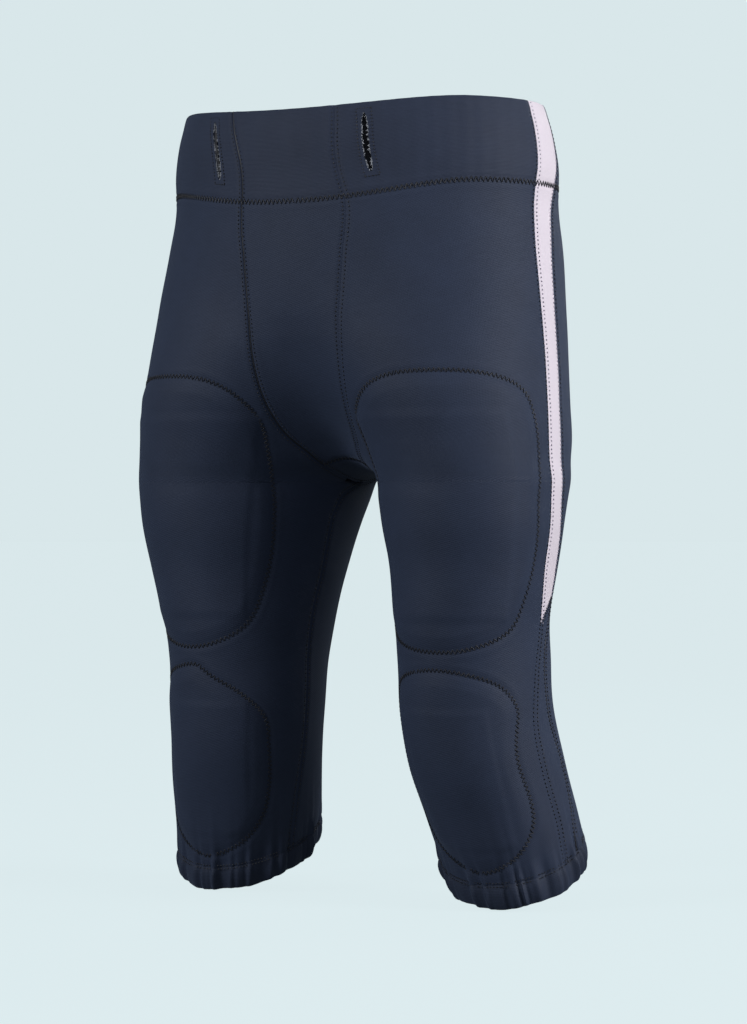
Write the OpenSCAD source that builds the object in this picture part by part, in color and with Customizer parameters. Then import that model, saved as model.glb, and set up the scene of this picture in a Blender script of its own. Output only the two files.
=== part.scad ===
// Padded knee-length sports pants with a slotted waistband, side stripes,
// stitched thigh and knee pockets, removable pads and gathered hems.
// Millimetres, +Z up, front faces -Y, +X is the wearer's left.
// Origin: centre of the waist opening, at the level of its top edge.

/* [Size] */
// Girth of the whole garment against the drawn size (%)
girth = 100; // [80:1:125]
// Length of the whole garment against the drawn size (%)
length = 100; // [85:1:115]

/* [Fabric] */
// Thickness of the outer knit fabric
fabric_t = 1.6; // [1:0.1:2.4]
// Width of the gap left at each sewn seam
seam_gap = 0.5; // [0.3:0.1:1]

/* [Waistband] */
// Height of the waistband
band_h = 64; // [50:1:80]
// Thickness of the waist elastic
elastic_t = 1.5; // [1:0.1:1.8]
// Height of the waist elastic
elastic_h = 50; // [30:1:54]
// Height of the belt slots
slot_h = 41; // [25:1:44]
// Width of the open belt slots
slot_w = 3.6; // [2:0.2:8]
// Distance of each belt slot from the centre front
slot_x = 68; // [60:1:84]

/* [Side stripe] */
// Extra width of the side stripe
stripe_extra = 0; // [-4:0.5:6]

/* [Pads] */
// Thickness of the thigh pads
thigh_pad_t = 7; // [4:0.5:9]
// Thickness of the knee pads
knee_pad_t = 6; // [4:0.5:7]

/* [Hems] */
// Height of the hem casings
hem_h = 20; // [16:1:26]
// Number of gathers round a hem
gathers = 16; // [10:1:24]
// Depth of the gathers
gather_d = 1.3; // [0:0.1:2]

/* [Hidden] */

kg = girth / 100;
kl = length / 100;
g2 = seam_gap / 2;
hem_z = -596;              // hem level before its backward tilt
cas_z = hem_z + hem_h;     // seam above the hem casing
eb = -elastic_h - 7;       // bottom of the waist elastic
bot_z = -291;              // lowest point of the crotch

// level, [leg centre x, outer half width, inner half width, leg centre y,
//   front depth, back depth, lean, blend, front roundness, back roundness]
BODY = [
 [   0, [  0,150,150, -5,104,104,  0, .02,2.0,2.0]],
 [ -20, [  0,156,156, -4,109,109,  0, .03,2.0,2.0]],
 [ -64, [  0,159,159, -3,110,116,  0, .06,2.0,2.0]],
 [-110, [ 22,143,141, -6,104,129,.02, .25,2.05,1.95]],
 [-150, [ 42,127,124,-10, 99,140,.05, .40,2.1,1.9]],
 [-190, [ 62,109,103, -8,104,137,.09, .50,2.12,1.88]],
 [-230, [ 80, 93, 89, -4,106,129,.12, .85,2.15,1.85]],
 [-260, [ 90, 84, 80, -1,103,116,.14,1.10,2.15,1.88]],
 [-275, [ 93, 81, 78,  0,101,109,.16,1.07,2.15,1.9]],
 [-290, [ 96, 79, 75,  0, 98,102,.17, .80,2.15,1.92]],
 [-305, [ 97, 77, 74, -2, 95, 96,.17, .50,2.15,1.93]],
 [-320, [ 98, 75, 72, -4, 91, 90,.17, .35,2.15,1.95]],
 [-360, [100, 67, 65, -5, 82, 78,.15, .20,2.13,1.96]],
 [-400, [100, 61, 59, -8, 74, 71,.11, .18,2.12,1.98]],
 [-430, [102, 59, 58, -9, 69, 69,.07, .16,2.1,2.0]],
 [-470, [104, 59, 58, -8, 65, 66,.03, .15,2.07,2.0]],
 [-510, [109, 60, 58, -1, 64, 63,  0, .14,2.05,2.0]],
 [-550, [115, 60, 57, 10, 61, 62,  0, .12,2.03,2.0]],
 [-590, [122, 57, 55, 20, 58, 58,  0, .11,2.0,2.0]],
 [-660, [132, 54, 54, 36, 55, 55,  0, .10,2.0,2.0]]];
// dip of the waist at the centre front, and backward tilt of the hems, by level
DIP  = [[0,[9]],[-30,[12]],[-64,[14]],[-110,[8]],[-170,[0]],[-700,[0]]];
TILT = [[0,[0]],[-430,[0]],[-470,[.08]],[-530,[.26]],[-576,[.40]],[-700,[.40]]];
// half width of the crotch strip at the front, its lean to one side, half width at the back
CW   = [[0,[47]],[-35,[44]],[-70,[42]],[-110,[41]],[-165,[40]],[-197,[39]],[-222,[37]],[-242,[34]],
        [-254,[31]],[-262,[27]],[-268,[23]],[-275,[20]],[-282,[18]],[-295,[17]],[-700,[17]]];
LEAN = [[0,[-12]],[-30,[-6]],[-60,[-1]],[-75,[0]],[-700,[0]]];
CB   = [[0,[.4]],[-225,[.4]],[-240,[6]],[-255,[11]],[-270,[15]],[-282,[17]],[-700,[17]]];
// front and back edges of the side stripe and the insert below it (y by level)
SF   = [[0,[-12]],[-64,[-17]],[-110,[-24]],[-150,[-26]],[-200,[-24]],[-260,[-25]],[-310,[-22]],[-360,[-18]],
        [-400,[-12]],[-440,[-19]],[-480,[-23]],[-510,[-18]],[-550,[-6]],[-600,[2]],[-660,[8]]];
SB   = [[0,[22]],[-48,[20]],[-64,[15]],[-84,[6]],[-110,[0]],[-150,[-3]],[-200,[-1]],[-260,[-3]],[-310,[1]],
        [-345,[7]],[-380,[10]],[-400,[6]],[-415,[-1]],[-450,[-3]],[-475,[0]],[-500,[9]],[-520,[14]],[-570,[17]],[-600,[22]],[-660,[30]]];
// inseam angle round the leg, by level
IN   = [[-280,[-196]],[-291,[-195.5]],[-300,[-183]],[-312,[-178]],[-335,[-177]],[-360,[-177]],[-400,[-174]],[-460,[-174]],
        [-500,[-170]],[-545,[-161]],[-575,[-159]],[-600,[-162]],[-660,[-165]]];
// side limits of the thigh pocket and of the knee pocket (angle round the leg, by level)
TPL  = [[-209,[-45]],[-214,[-35]],[-222,[-29]],[-240,[-26]],[-300,[-28]],[-340,[-25]],[-384,[-30]],[-402,[-35]],[-412,[-45]],[-420,[-68]]];
TPM  = [[-209,[-82]],[-214,[-92]],[-222,[-100]],[-240,[-114]],[-272,[-123]],[-312,[-131]],[-350,[-132]],[-371,[-129]],[-390,[-124]],[-404,[-118]],[-414,[-107]],[-420,[-92]]];
KPL  = [[-434,[-76]],[-440,[-53]],[-447,[-42]],[-455,[-35]],[-462,[-31]],[-475,[-34]],[-490,[-38]],[-530,[-36]],[-541,[-38]],[-551,[-46]],[-560,[-57]],[-565,[-70]],[-567,[-80]]];
KPM  = [[-434,[-86]],[-443,[-95]],[-449,[-108]],[-457,[-119]],[-465,[-128]],[-474,[-135]],[-489,[-137]],[-525,[-137]],[-546,[-131]],[-557,[-121]],[-563,[-112]],[-567,[-94]]];

navy = [.17, .20, .27];
navy_dark = [.12, .14, .19];
white = [.86, .84, .88];
foam = [.80, .81, .82];

function lerp(a, b, t) = a + (b - a) * t;
function cl(x, a = 0, b = 1) = min(b, max(a, x));
function sm(x) = let (t = cl(x)) t * t * (3 - 2 * t);

// smooth interpolation of a table of levels
function seg(T, z, i = 0) = (i >= len(T) - 2 || T[i + 1][0] < z) ? i : seg(T, z, i + 1);
function slp(T, i) =
  i == 0 ? (T[1][1] - T[0][1]) / (T[1][0] - T[0][0]) :
  i == len(T) - 1 ? (T[i][1] - T[i - 1][1]) / (T[i][0] - T[i - 1][0]) :
  let (h0 = T[i - 1][0] - T[i][0], h1 = T[i][0] - T[i + 1][0],
       d0 = (T[i - 1][1] - T[i][1]) / h0, d1 = (T[i][1] - T[i + 1][1]) / h1)
  (d0 * h1 + d1 * h0) / (h0 + h1);
function her(T, zz) = let (z = cl(zz, T[len(T) - 1][0], T[0][0]), i = seg(T, z), a = T[i], b = T[i + 1],
    h = b[0] - a[0], s = (z - a[0]) / h)
  a[1] * (2 * s * s * s - 3 * s * s + 1) + slp(T, i) * (h * (s * s * s - 2 * s * s + s)) +
  b[1] * (3 * s * s - 2 * s * s * s) + slp(T, i + 1) * (h * (s * s * s - s * s));
function tab(T, z) = her(T, z)[0];
function lin(T, zz) = let (z = cl(zz, T[len(T) - 1][0], T[0][0]), i = seg(T, z), a = T[i], b = T[i + 1])
  lerp(a[1][0], b[1][0], (z - a[0]) / (b[0] - a[0]));

// outer surface of the garment: one smooth outline of both legs at each level
function one(x, y, p) = let (dy = y - p[3], dx = x - p[0] + p[6] * dy,
    sx = dx > 0 ? p[1] : p[2], sy = dy < 0 ? p[4] : p[5], n = dy < 0 ? p[8] : p[9])
  pow(pow(abs(dx) / sx, n) + pow(abs(dy) / sy, n), 1 / n) - 1;
function F(x, y, p) = let (a = one(x, y, p), b = one(-x, y, p), k = p[7], h = max(k - abs(a - b), 0) / k)
  min(a, b) - h * h * k / 4;
function Fz(q) = F(q[0], q[1], her(BODY, q[2]));
function bis(ca, sa, p, lo, hi, n) = n == 0 ? (lo + hi) / 2 : let (m = (lo + hi) / 2)
  F(p[0] + m * ca, p[3] + m * sa, p) < 0 ? bis(ca, sa, p, m, hi, n - 1) : bis(ca, sa, p, lo, m, n - 1);
function rad(a, p) = let (ca = cos(a), hi = ca < -1e-6 ? min(260, p[0] / -ca + .001) : 260)
  bis(ca, sin(a), p, 0, max(hi, .001), 18);
function zact(z0, y, cy) = let (q = cl((-y - 60) / 54, 0, 1.2)) z0 - lin(DIP, z0) * q * q + lin(TILT, z0) * (y - cy);
// point at angle a round the leg, level z0 (before the dip and the tilt)
function surf(a, z0) = let (p = her(BODY, z0), r = rad(a, p), z = zact(z0, p[3] + r * sin(a), p[3]),
    q = her(BODY, z), r2 = rad(a, q)) [q[0] + r2 * cos(a), q[3] + r2 * sin(a), z];
function bisy(x, p, lo, hi, n) = n == 0 ? (lo + hi) / 2 : let (m = (lo + hi) / 2)
  F(x, m, p) < 0 ? bisy(x, p, m, hi, n - 1) : bisy(x, p, lo, m, n - 1);
function fy(x, z, s = -1) = let (p = her(BODY, z)) bisy(abs(x), p, p[3], p[3] + s * 210, 18);
function bisx(y, p, lo, hi, n) = n == 0 ? (lo + hi) / 2 : let (m = (lo + hi) / 2)
  F(m, y, p) < 0 ? bisx(y, p, m, hi, n - 1) : bisx(y, p, lo, m, n - 1);
// angle of a side seam, of the crotch seam (front and back) and of the centre line
function aside(T, z0, e = 0) = let (y = tab(T, z0) + e, p = her(BODY, z0), x = bisx(y, p, p[0], p[0] + 220, 18)) atan2(y - p[3], x - p[0]);
function across(x, z0) = let (p = her(BODY, z0), y = fy(x, z0)) atan2(y - p[3], x - p[0]);
function afront(z0, sd, e = 0) = z0 > bot_z ? across(tab(CW, z0) + sd * lin(LEAN, z0) + e, z0)
  : tab(IN, z0) + e * 57 / 60;
function wrapb(a) = a < 0 ? a + 360 : a;
function aback(z0, e = 0) = z0 > bot_z ? let (x = lin(CB, z0) + e, p = her(BODY, z0), y = fy(x, z0, 1)) wrapb(atan2(y - p[3], x - p[0]))
  : 360 + tab(IN, z0) - e * 57 / 60;
function grad(q, e = .5) = [F(q[0] + e, q[1], her(BODY, q[2])) - F(q[0] - e, q[1], her(BODY, q[2])),
  F(q[0], q[1] + e, her(BODY, q[2])) - F(q[0], q[1] - e, her(BODY, q[2])),
  F(q[0], q[1], her(BODY, q[2] + e)) - F(q[0], q[1], her(BODY, q[2] - e))];
function nrm(q) = let (g = grad(q)) g / norm(g);
function inset(q, d) = q - nrm(q) * d;
function flipx(q) = [-q[0], q[1], q[2]];
function fit3(q) = [q[0] * kg, q[1] * kg, q[2] * kl];

// ---- closed slab between two point grids: o and n, rows going down, columns going left to right seen from outside
module slab(o, n) {
  R = len(o); C = len(o[0]);
  function id(k, i, j) = k * R * C + i * C + j;
  polyhedron(
    points = [for (g = [o, n]) for (i = [0 : R - 1]) for (j = [0 : C - 1]) fit3(g[i][j])],
    faces = concat(
      [for (i = [0 : R - 2]) for (j = [0 : C - 2]) each
        [[id(0,i,j), id(0,i,j+1), id(0,i+1,j+1)], [id(0,i,j), id(0,i+1,j+1), id(0,i+1,j)],
         [id(1,i,j), id(1,i+1,j+1), id(1,i,j+1)], [id(1,i,j), id(1,i+1,j), id(1,i+1,j+1)]]],
      [for (j = [0 : C - 2]) each
        [[id(0,0,j), id(1,0,j), id(1,0,j+1)], [id(0,0,j), id(1,0,j+1), id(0,0,j+1)],
         [id(0,R-1,j), id(0,R-1,j+1), id(1,R-1,j+1)], [id(0,R-1,j), id(1,R-1,j+1), id(1,R-1,j)]]],
      [for (i = [0 : R - 2]) each
        [[id(0,i,0), id(0,i+1,0), id(1,i+1,0)], [id(0,i,0), id(1,i+1,0), id(1,i,0)],
         [id(0,i,C-1), id(1,i,C-1), id(1,i+1,C-1)], [id(0,i,C-1), id(1,i+1,C-1), id(0,i+1,C-1)]]]),
    convexity = 6);
}
// ---- closed ring: profile points (depth, level) carried round a loop of angles
module ring(P) {      // P[j][i]: column j round the loop, i along the closed profile
  N = len(P); M = len(P[0]);
  polyhedron(points = [for (c = P) for (q = c) fit3(q)],
    faces = [for (j = [0 : N - 1]) for (i = [0 : M - 1]) each
      let (a = j * M + i, b = j * M + (i + 1) % M, c = ((j + 1) % N) * M + (i + 1) % M, d = ((j + 1) % N) * M + i)
      [[a, d, c], [a, c, b]]], convexity = 8);
}
module side(sd) { if (sd > 0) children(); else mirror([1, 0, 0]) children(); }

// a patch between two seam angles (functions given by number) from level za to zb
function seam_a(k, z0, sd) =
  k == 0 ? afront(z0, sd, g2) :
  k == 1 ? aside(SF, z0, -g2) :
  k == 2 ? aside(SF, z0, g2) :
  k == 3 ? aside(SB, z0, stripe_extra - g2) :
  k == 4 ? aside(SB, z0, stripe_extra + g2) :
  k == 5 ? aback(z0, g2) : 0;
function patch(ka, kb, zs, n, sd, d = 0) = [for (z0 = zs) let (a = seam_a(ka, z0, sd), b = seam_a(kb, z0, sd))
  [for (j = [0 : n]) let (q = surf(lerp(a, b, j / n), z0)) d == 0 ? q : inset(q, d)]];
module cloth(ka, kb, zs, n, sd, t = fabric_t) { o = patch(ka, kb, zs, n, sd);
  slab(o, [for (r = o) [for (q = r) inset(q, t)]]); }

// levels used for the rows of the leg panels
band_b = -band_h;
leg_rows = concat([band_b - g2, -72, -84, -98, -114, -132, -150, -168, -186, -204, -220, -234, -246, -256, -264, -271, -278, -284.5, -290.5,
  -297, -304, -313, -325, -340, -358, -378, -400, -422, -445, -468, -490, -510, -530, -548, -563], [cas_z + g2]);
function rows(a, b, n) = [for (i = [0 : n]) lerp(a, b, i / n)];

// ---- waistband
function band_front(sd, za, zb, n, m, d) = [for (i = [0 : n]) let (z0 = lerp(za, zb, i / n), a = seam_a(0, z0, sd), b = seam_a(1, z0, sd))
  [for (j = [0 : m]) let (q = surf(lerp(a, b, j / m), z0)) d == 0 ? q : inset(q, d)]];
module slot_at(sd) {      // children drawn upright at the belt slot, +Z outward
  z0 = -4 - slot_h / 2 - 4;
  q = surf(across(slot_x + sd * lin(LEAN, z0), z0), z0);
  n = nrm(q);
  side(sd) translate(fit3(q)) rotate([0, 0, atan2(n[1], n[0]) + 90]) rotate([90, 0, 0])
    rotate([0, 0, sd * 10]) children();
}
module slot_cut(sd) slot_at(sd) cube([slot_w + 2.6, slot_h + 3, 30], center = true);
module waistband_front(sd) color(navy) difference() {
  side(sd) slab(band_front(sd, 0, band_b + g2, 8, 14, 0), band_front(sd, 0, band_b + g2, 8, 14, fabric_t));
  slot_cut(sd);
}
module waistband_front_center() {
  function row(z0) = let (xr = -tab(CW, z0) + lin(LEAN, z0) + g2, xl = tab(CW, z0) + lin(LEAN, z0) - g2)
    [for (j = [0 : 8]) let (x = lerp(xr, xl, j / 8), q = surf(across(abs(x), z0), z0)) x < 0 ? flipx(q) : q];
  o = [for (z0 = rows(0, band_b + g2, 6)) row(z0)];
  color(navy) slab(o, [for (r = o) [for (q = r) inset2(q, fabric_t)]]);
}
function inset2(q, d) = q[0] < 0 ? flipx(inset(flipx(q), d)) : inset(q, d);
module waistband_stripe(sd) color(white) side(sd) cloth(2, 3, rows(0, band_b + g2, 6), 4, sd);
module waistband_back() {
  function half(z0) = let (a = aside(SB, z0, stripe_extra + g2)) [for (j = [0 : 12]) surf(lerp(a, 90, j / 12), z0)];
  function row(z0) = let (h = half(z0)) concat(h, [for (j = [11 : -1 : 0]) flipx(h[j])]);
  o = [for (z0 = rows(0, band_b + g2, 6)) row(z0)];
  color(navy) slab(o, [for (r = o) [for (q = r) inset2(q, fabric_t)]]);
}
// full hoop inside the waistband, from depth d0 to d1
function hoop_col(a, d0, d1, za, zb) = let (m = a > 90, b = m ? 180 - a : a)
  [for (u = [[d0, za], [d0, lerp(za, zb, .33)], [d0, lerp(za, zb, .67)], [d0, zb], [d1, zb], [d1, lerp(za, zb, .67)], [d1, lerp(za, zb, .33)], [d1, za]])
    let (q = inset(surf(b, u[1]), u[0])) m ? flipx(q) : q];
module hoop(d0, d1, za, zb) ring([for (j = [0 : 71]) hoop_col(-90 + j * 5, d0, d1, za, zb)]);
lin_d = fabric_t + .8 + elastic_t + .5;
module waist_elastic() color(white) difference() {
  hoop(fabric_t + .8, fabric_t + .8 + elastic_t, -6, eb);
  slot_cut(1); slot_cut(-1);
}
module waistband_lining() color(navy_dark) hoop(lin_d, lin_d + 1, -.6, band_b + 1);
module belt_slot_facing(sd) color(white) slot_at(sd) difference() {
  translate([0, 0, -1.9]) cube([slot_w + 1.8, slot_h + 2, 3.2], center = true);
  cube([slot_w, slot_h, 40], center = true);
}

// ---- crotch strip: level rows above, then rows fanning round under the body
piv = [10, -180];
function bisf(x, dy, dz, lo, hi, n) = n == 0 ? (lo + hi) / 2 : let (m = (lo + hi) / 2)
  Fz([x, piv[0] + m * dy, piv[1] + m * dz]) < 0 ? bisf(x, dy, dz, m, hi, n - 1) : bisf(x, dy, dz, lo, m, n - 1);
function fanp(x, be) = let (dy = -cos(be), dz = -sin(be), r = bisf(abs(x), dy, dz, 0, 230, 18)) [x, piv[0] + r * dy, piv[1] + r * dz];
function fanw(be, w, n = 4) = n == 0 ? w : let (z = fanp(w, be)[2]) fanw(be, be < 95 ? tab(CW, z) : lin(CB, z), n - 1);
function fanrow(be, m = 6) = let (w = fanw(be, 17) - g2) [for (j = [0 : m]) fanp(lerp(-w, w, j / m), be)];
cross_be = 66;
module crotch_panel() color(navy) {
  o = concat(
    [for (z0 = [band_b - g2, -72, -84, -98, -114, -132, -150, -165]) [for (j = [0 : 6]) let (w = tab(CW, z0) - g2, u = lerp(-w, w, j / 6) + lin(LEAN, z0), q = surf(across(abs(u), z0), z0)) u < 0 ? flipx(q) : q]],
    [for (be = [0, 7, 14, 21, 28, 35, 42, 48, 54, 60, cross_be - .2]) fanrow(be)]);
  slab(o, [for (r = o) [for (q = r) inset2(q, fabric_t)]]);
}
module crotch_gusset() color(navy_dark) {
  o = [for (be = [cross_be + .2, 70, 75, 80, 85, 90, 96, 102, 108, 114, 120, 126, 132, 137, 141, 145, 149, 153, 156.5]) fanrow(be, 4)];
  slab(o, [for (r = o) [for (q = r) inset2(q, fabric_t)]]);
}

// ---- legs
module front_leg_panel(sd) color(navy) side(sd) cloth(0, 1, leg_rows, 14, sd);
module back_leg_panel(sd) color(navy) side(sd) cloth(4, 5, leg_rows, 14, sd);
tip = -400;                // end of the stripe at its front edge
function diag(u) = lerp(tip, tip + 20, u);
module side_stripe(sd) color(white) side(sd) {
  o = [for (i = [0 : 20]) [for (j = [0 : 3]) let (z0 = lerp(band_b - g2, diag(j / 3) + g2, i / 20),
      q = surf(lerp(seam_a(2, z0, sd), seam_a(3, z0, sd), j / 3), z0)) q]];
  slab(o, [for (r = o) [for (q = r) inset(q, fabric_t)]]);
}
module side_insert(sd) color(navy) side(sd) {
  o = [for (i = [0 : 22]) [for (j = [0 : 3]) let (z0 = lerp(diag(j / 3) - g2, cas_z + g2, i / 22),
      q = surf(lerp(aside(SF, z0, g2 + .4), aside(SB, z0, -g2 - .4), j / 3), z0)) q]];
  slab(o, [for (r = o) [for (q = r) inset(q, fabric_t)]]);
}

// ---- inner pocket plies: joined along the sides and the bottom, open at the top
function pock(TL, TM, zt, zb, deep, d0) = [for (i = [0 : 14]) let (z0 = lerp(zt, zb, i / 14), a = tab(TM, z0), b = tab(TL, z0))
  [for (j = [0 : 14]) let (u = j / 14, m = sm(min(u, 1 - u) / .13) * sm((1 - i / 14) / .12)) inset(surf(lerp(a, b, u), z0), lerp(fabric_t + 1, deep, m) + d0)]];
module thigh_pocket(sd) color(navy_dark) side(sd) slab(pock(TPL, TPM, -214, -419, 18.5, 0), pock(TPL, TPM, -214, -419, 18.5, 1));
module knee_pocket(sd) color(navy_dark) side(sd) slab(pock(KPL, KPM, -440, -566, 13.5, 0), pock(KPL, KPM, -440, -566, 13.5, 1));

// ---- pads: rounded plates following the leg
function padg(zc, zh, ac, ah, d, k) = [for (i = [0 : 12]) let (v = -1 + 2 * i / 12, z0 = zc - v * (zh - k), w = pow(1 - pow(abs(v) * .93, 4), .5))
  [for (j = [0 : 12]) inset(surf(ac + (-1 + 2 * j / 12) * w * (ah - k * .9), z0), d)]];
module pad(zc, zh, ac, ah, d, t) slab4([padg(zc, zh, ac, ah, d, 4), padg(zc, zh, ac, ah, d + t * .35, 0), padg(zc, zh, ac, ah, d + t, 2)]);
module slab4(G) {          // plate with a bevelled rim: front face, widest section, back face
  R = len(G[0]); C = len(G[0][0]); L = len(G);
  function id(k, i, j) = k * R * C + i * C + j;
  loop = concat([for (j = [0 : C - 2]) [0, j]], [for (i = [0 : R - 2]) [i, C - 1]], [for (j = [C - 1 : -1 : 1]) [R - 1, j]], [for (i = [R - 1 : -1 : 1]) [i, 0]]);
  n = len(loop);
  polyhedron(points = [for (g = G) for (i = [0 : R - 1]) for (j = [0 : C - 1]) fit3(g[i][j])],
    faces = concat(
      [for (i = [0 : R - 2]) for (j = [0 : C - 2]) each
        [[id(0,i,j), id(0,i,j+1), id(0,i+1,j+1)], [id(0,i,j), id(0,i+1,j+1), id(0,i+1,j)],
         [id(L-1,i,j), id(L-1,i+1,j+1), id(L-1,i,j+1)], [id(L-1,i,j), id(L-1,i+1,j), id(L-1,i+1,j+1)]]],
      [for (k = [0 : L - 2]) for (e = [0 : n - 1]) each let (p = loop[e], q = loop[(e + 1) % n])
        [[id(k,p[0],p[1]), id(k+1,p[0],p[1]), id(k+1,q[0],q[1])], [id(k,p[0],p[1]), id(k+1,q[0],q[1]), id(k,q[0],q[1])]]]),
    convexity = 4);
}
module thigh_pad(sd) color(foam) side(sd) pad(-318, 68, -78, 32, 5.6, thigh_pad_t);
module knee_pad(sd) color(foam) side(sd) pad(-507, 40, -87, 30, 4.2, knee_pad_t);

// ---- hems: folded casing with an elastic inside, gathered
function rip(a) = gather_d * (1 + cos(a * gathers)) / 2;
function hemcol(a, prof) = [for (u = prof) inset(surf(a, u[1]), u[0] + rip(a) * (u[2]))];
hem_n = gathers * 5;
module hem_casing(sd) color(navy) side(sd) {
  t = cas_z - g2;
  m = lerp(t, hem_z, .5);
  prof = [[0,t,.3],[0,m,1],[.8,hem_z+1.6,1],[2.7,hem_z,1],[4.6,hem_z+1.6,1],[5.4,t,1],
    [4.3,t,1],[3.9,hem_z+3,1],[2.7,hem_z+2,1],[1.5,hem_z+3,1],[1.1,m,1],[1.1,t,.3]];
  ring([for (j = [0 : hem_n - 1]) hemcol(j * 360 / hem_n, prof)]);
}
module hem_elastic(sd) color(white) side(sd) {
  za = cas_z - 2; zb = hem_z + 5;
  prof = [[1.8,za,1],[1.8,lerp(za,zb,.5),1],[1.8,zb,1],[3.5,zb,1],[3.5,lerp(za,zb,.5),1],[3.5,za,1]];
  ring([for (j = [0 : hem_n - 1]) hemcol(j * 360 / hem_n, prof)]);
}

waistband_front_center();
waistband_front(1);  // waistband_front_left
waistband_front(-1);  // waistband_front_right
waistband_stripe(1);  // waistband_stripe_left
waistband_stripe(-1);  // waistband_stripe_right
waistband_back();
waist_elastic();
waistband_lining();
belt_slot_facing(1);  // belt_slot_facing_left
belt_slot_facing(-1);  // belt_slot_facing_right
crotch_panel();
crotch_gusset();
front_leg_panel(1);  // front_leg_panel_left
front_leg_panel(-1);  // front_leg_panel_right
back_leg_panel(1);  // back_leg_panel_left
back_leg_panel(-1);  // back_leg_panel_right
side_stripe(1);  // side_stripe_left
side_stripe(-1);  // side_stripe_right
side_insert(1);  // side_insert_left
side_insert(-1);  // side_insert_right
thigh_pocket(1);  // thigh_pocket_left
thigh_pocket(-1);  // thigh_pocket_right
knee_pocket(1);  // knee_pocket_left
knee_pocket(-1);  // knee_pocket_right
thigh_pad(1);  // thigh_pad_left
thigh_pad(-1);  // thigh_pad_right
knee_pad(1);  // knee_pad_left
knee_pad(-1);  // knee_pad_right
hem_casing(1);  // hem_casing_left
hem_casing(-1);  // hem_casing_right
hem_elastic(1);  // hem_elastic_left
hem_elastic(-1);  // hem_elastic_right
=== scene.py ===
import bpy, math
import numpy as np
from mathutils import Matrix, Vector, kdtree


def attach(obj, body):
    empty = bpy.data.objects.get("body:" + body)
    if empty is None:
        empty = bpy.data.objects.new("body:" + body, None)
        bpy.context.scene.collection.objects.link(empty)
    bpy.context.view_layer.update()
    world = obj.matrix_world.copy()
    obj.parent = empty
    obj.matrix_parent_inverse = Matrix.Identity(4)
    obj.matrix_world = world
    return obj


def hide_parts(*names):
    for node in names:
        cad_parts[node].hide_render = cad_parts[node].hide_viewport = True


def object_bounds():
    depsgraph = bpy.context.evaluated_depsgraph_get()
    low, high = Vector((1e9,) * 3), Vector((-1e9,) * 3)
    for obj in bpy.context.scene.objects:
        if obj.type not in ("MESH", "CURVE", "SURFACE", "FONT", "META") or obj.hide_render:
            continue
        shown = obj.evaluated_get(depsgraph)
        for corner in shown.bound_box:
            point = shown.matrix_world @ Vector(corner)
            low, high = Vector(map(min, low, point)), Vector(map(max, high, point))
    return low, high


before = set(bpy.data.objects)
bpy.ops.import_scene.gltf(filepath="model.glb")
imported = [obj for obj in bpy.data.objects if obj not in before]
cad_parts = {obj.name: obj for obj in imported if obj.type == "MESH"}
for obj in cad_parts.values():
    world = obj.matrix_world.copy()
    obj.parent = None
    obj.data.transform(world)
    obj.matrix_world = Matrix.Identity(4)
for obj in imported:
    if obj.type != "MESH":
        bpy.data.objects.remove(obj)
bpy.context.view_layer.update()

# ------------------------------------------------------------------ the garment's surface (mm)
T = np.array([
[0,0,150,150,-5,104,104,0,.02,2.0,2.0],[-20,0,156,156,-4,109,109,0,.03,2.0,2.0],[-64,0,159,159,-3,110,116,0,.06,2.0,2.0],
[-110,22,143,141,-6,104,129,.02,.25,2.05,1.95],[-150,42,127,124,-10,99,140,.05,.40,2.1,1.9],[-190,62,109,103,-8,104,137,.09,.50,2.12,1.88],
[-230,80,93,89,-4,106,129,.12,.85,2.15,1.85],[-260,90,84,80,-1,103,116,.14,1.10,2.15,1.88],[-275,93,81,78,0,101,109,.16,1.07,2.15,1.9],
[-290,96,79,75,0,98,102,.17,.80,2.15,1.92],[-305,97,77,74,-2,95,96,.17,.50,2.15,1.93],[-320,98,75,72,-4,91,90,.17,.35,2.15,1.95],
[-360,100,67,65,-5,82,78,.15,.20,2.13,1.96],[-400,100,61,59,-8,74,71,.11,.18,2.12,1.98],[-430,102,59,58,-9,69,69,.07,.16,2.1,2.0],
[-470,104,59,58,-8,65,66,.03,.15,2.07,2.0],[-510,109,60,58,-1,64,63,0,.14,2.05,2.0],[-550,115,60,57,10,61,62,0,.12,2.03,2.0],
[-590,122,57,55,20,58,58,0,.11,2.0,2.0],[-660,132,54,54,36,55,55,0,.10,2.0,2.0]], float)
DIP = np.array([[0,9],[-30,12],[-64,14],[-110,8],[-170,0],[-700,0]], float)
TILT = np.array([[0,0],[-430,0],[-470,.08],[-530,.26],[-576,.40],[-700,.40]], float)
LEAN = np.array([[0,-12],[-30,-6],[-60,-1],[-75,0],[-700,0]], float)
CW = np.array([[0,47],[-35,44],[-70,42],[-110,41],[-165,40],[-197,39],[-222,37],[-242,34],[-254,31],[-262,27],[-268,23],[-275,20],[-282,18],[-295,17],[-700,17]], float)
CB = np.array([[0,.0],[-225,.0],[-240,6],[-255,11],[-270,15],[-282,17],[-700,17]], float)
SF = np.array([[0,-12],[-64,-17],[-110,-24],[-150,-26],[-200,-24],[-260,-25],[-310,-22],[-360,-18],[-400,-12],[-440,-19],[-480,-23],[-510,-18],[-550,-6],[-600,2],[-660,8]], float)
SB = np.array([[0,22],[-48,20],[-64,15],[-84,6],[-110,0],[-150,-3],[-200,-1],[-260,-3],[-310,1],[-345,7],[-380,10],[-400,6],[-415,-1],[-450,-3],[-475,0],[-500,9],[-520,14],[-570,17],[-600,22],[-660,30]], float)
IN = np.array([[-280,-196],[-291,-195.5],[-300,-183],[-312,-178],[-335,-177],[-360,-177],[-400,-174],[-460,-174],[-500,-170],[-545,-161],[-575,-159],[-600,-162],[-660,-165]], float)
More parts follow.
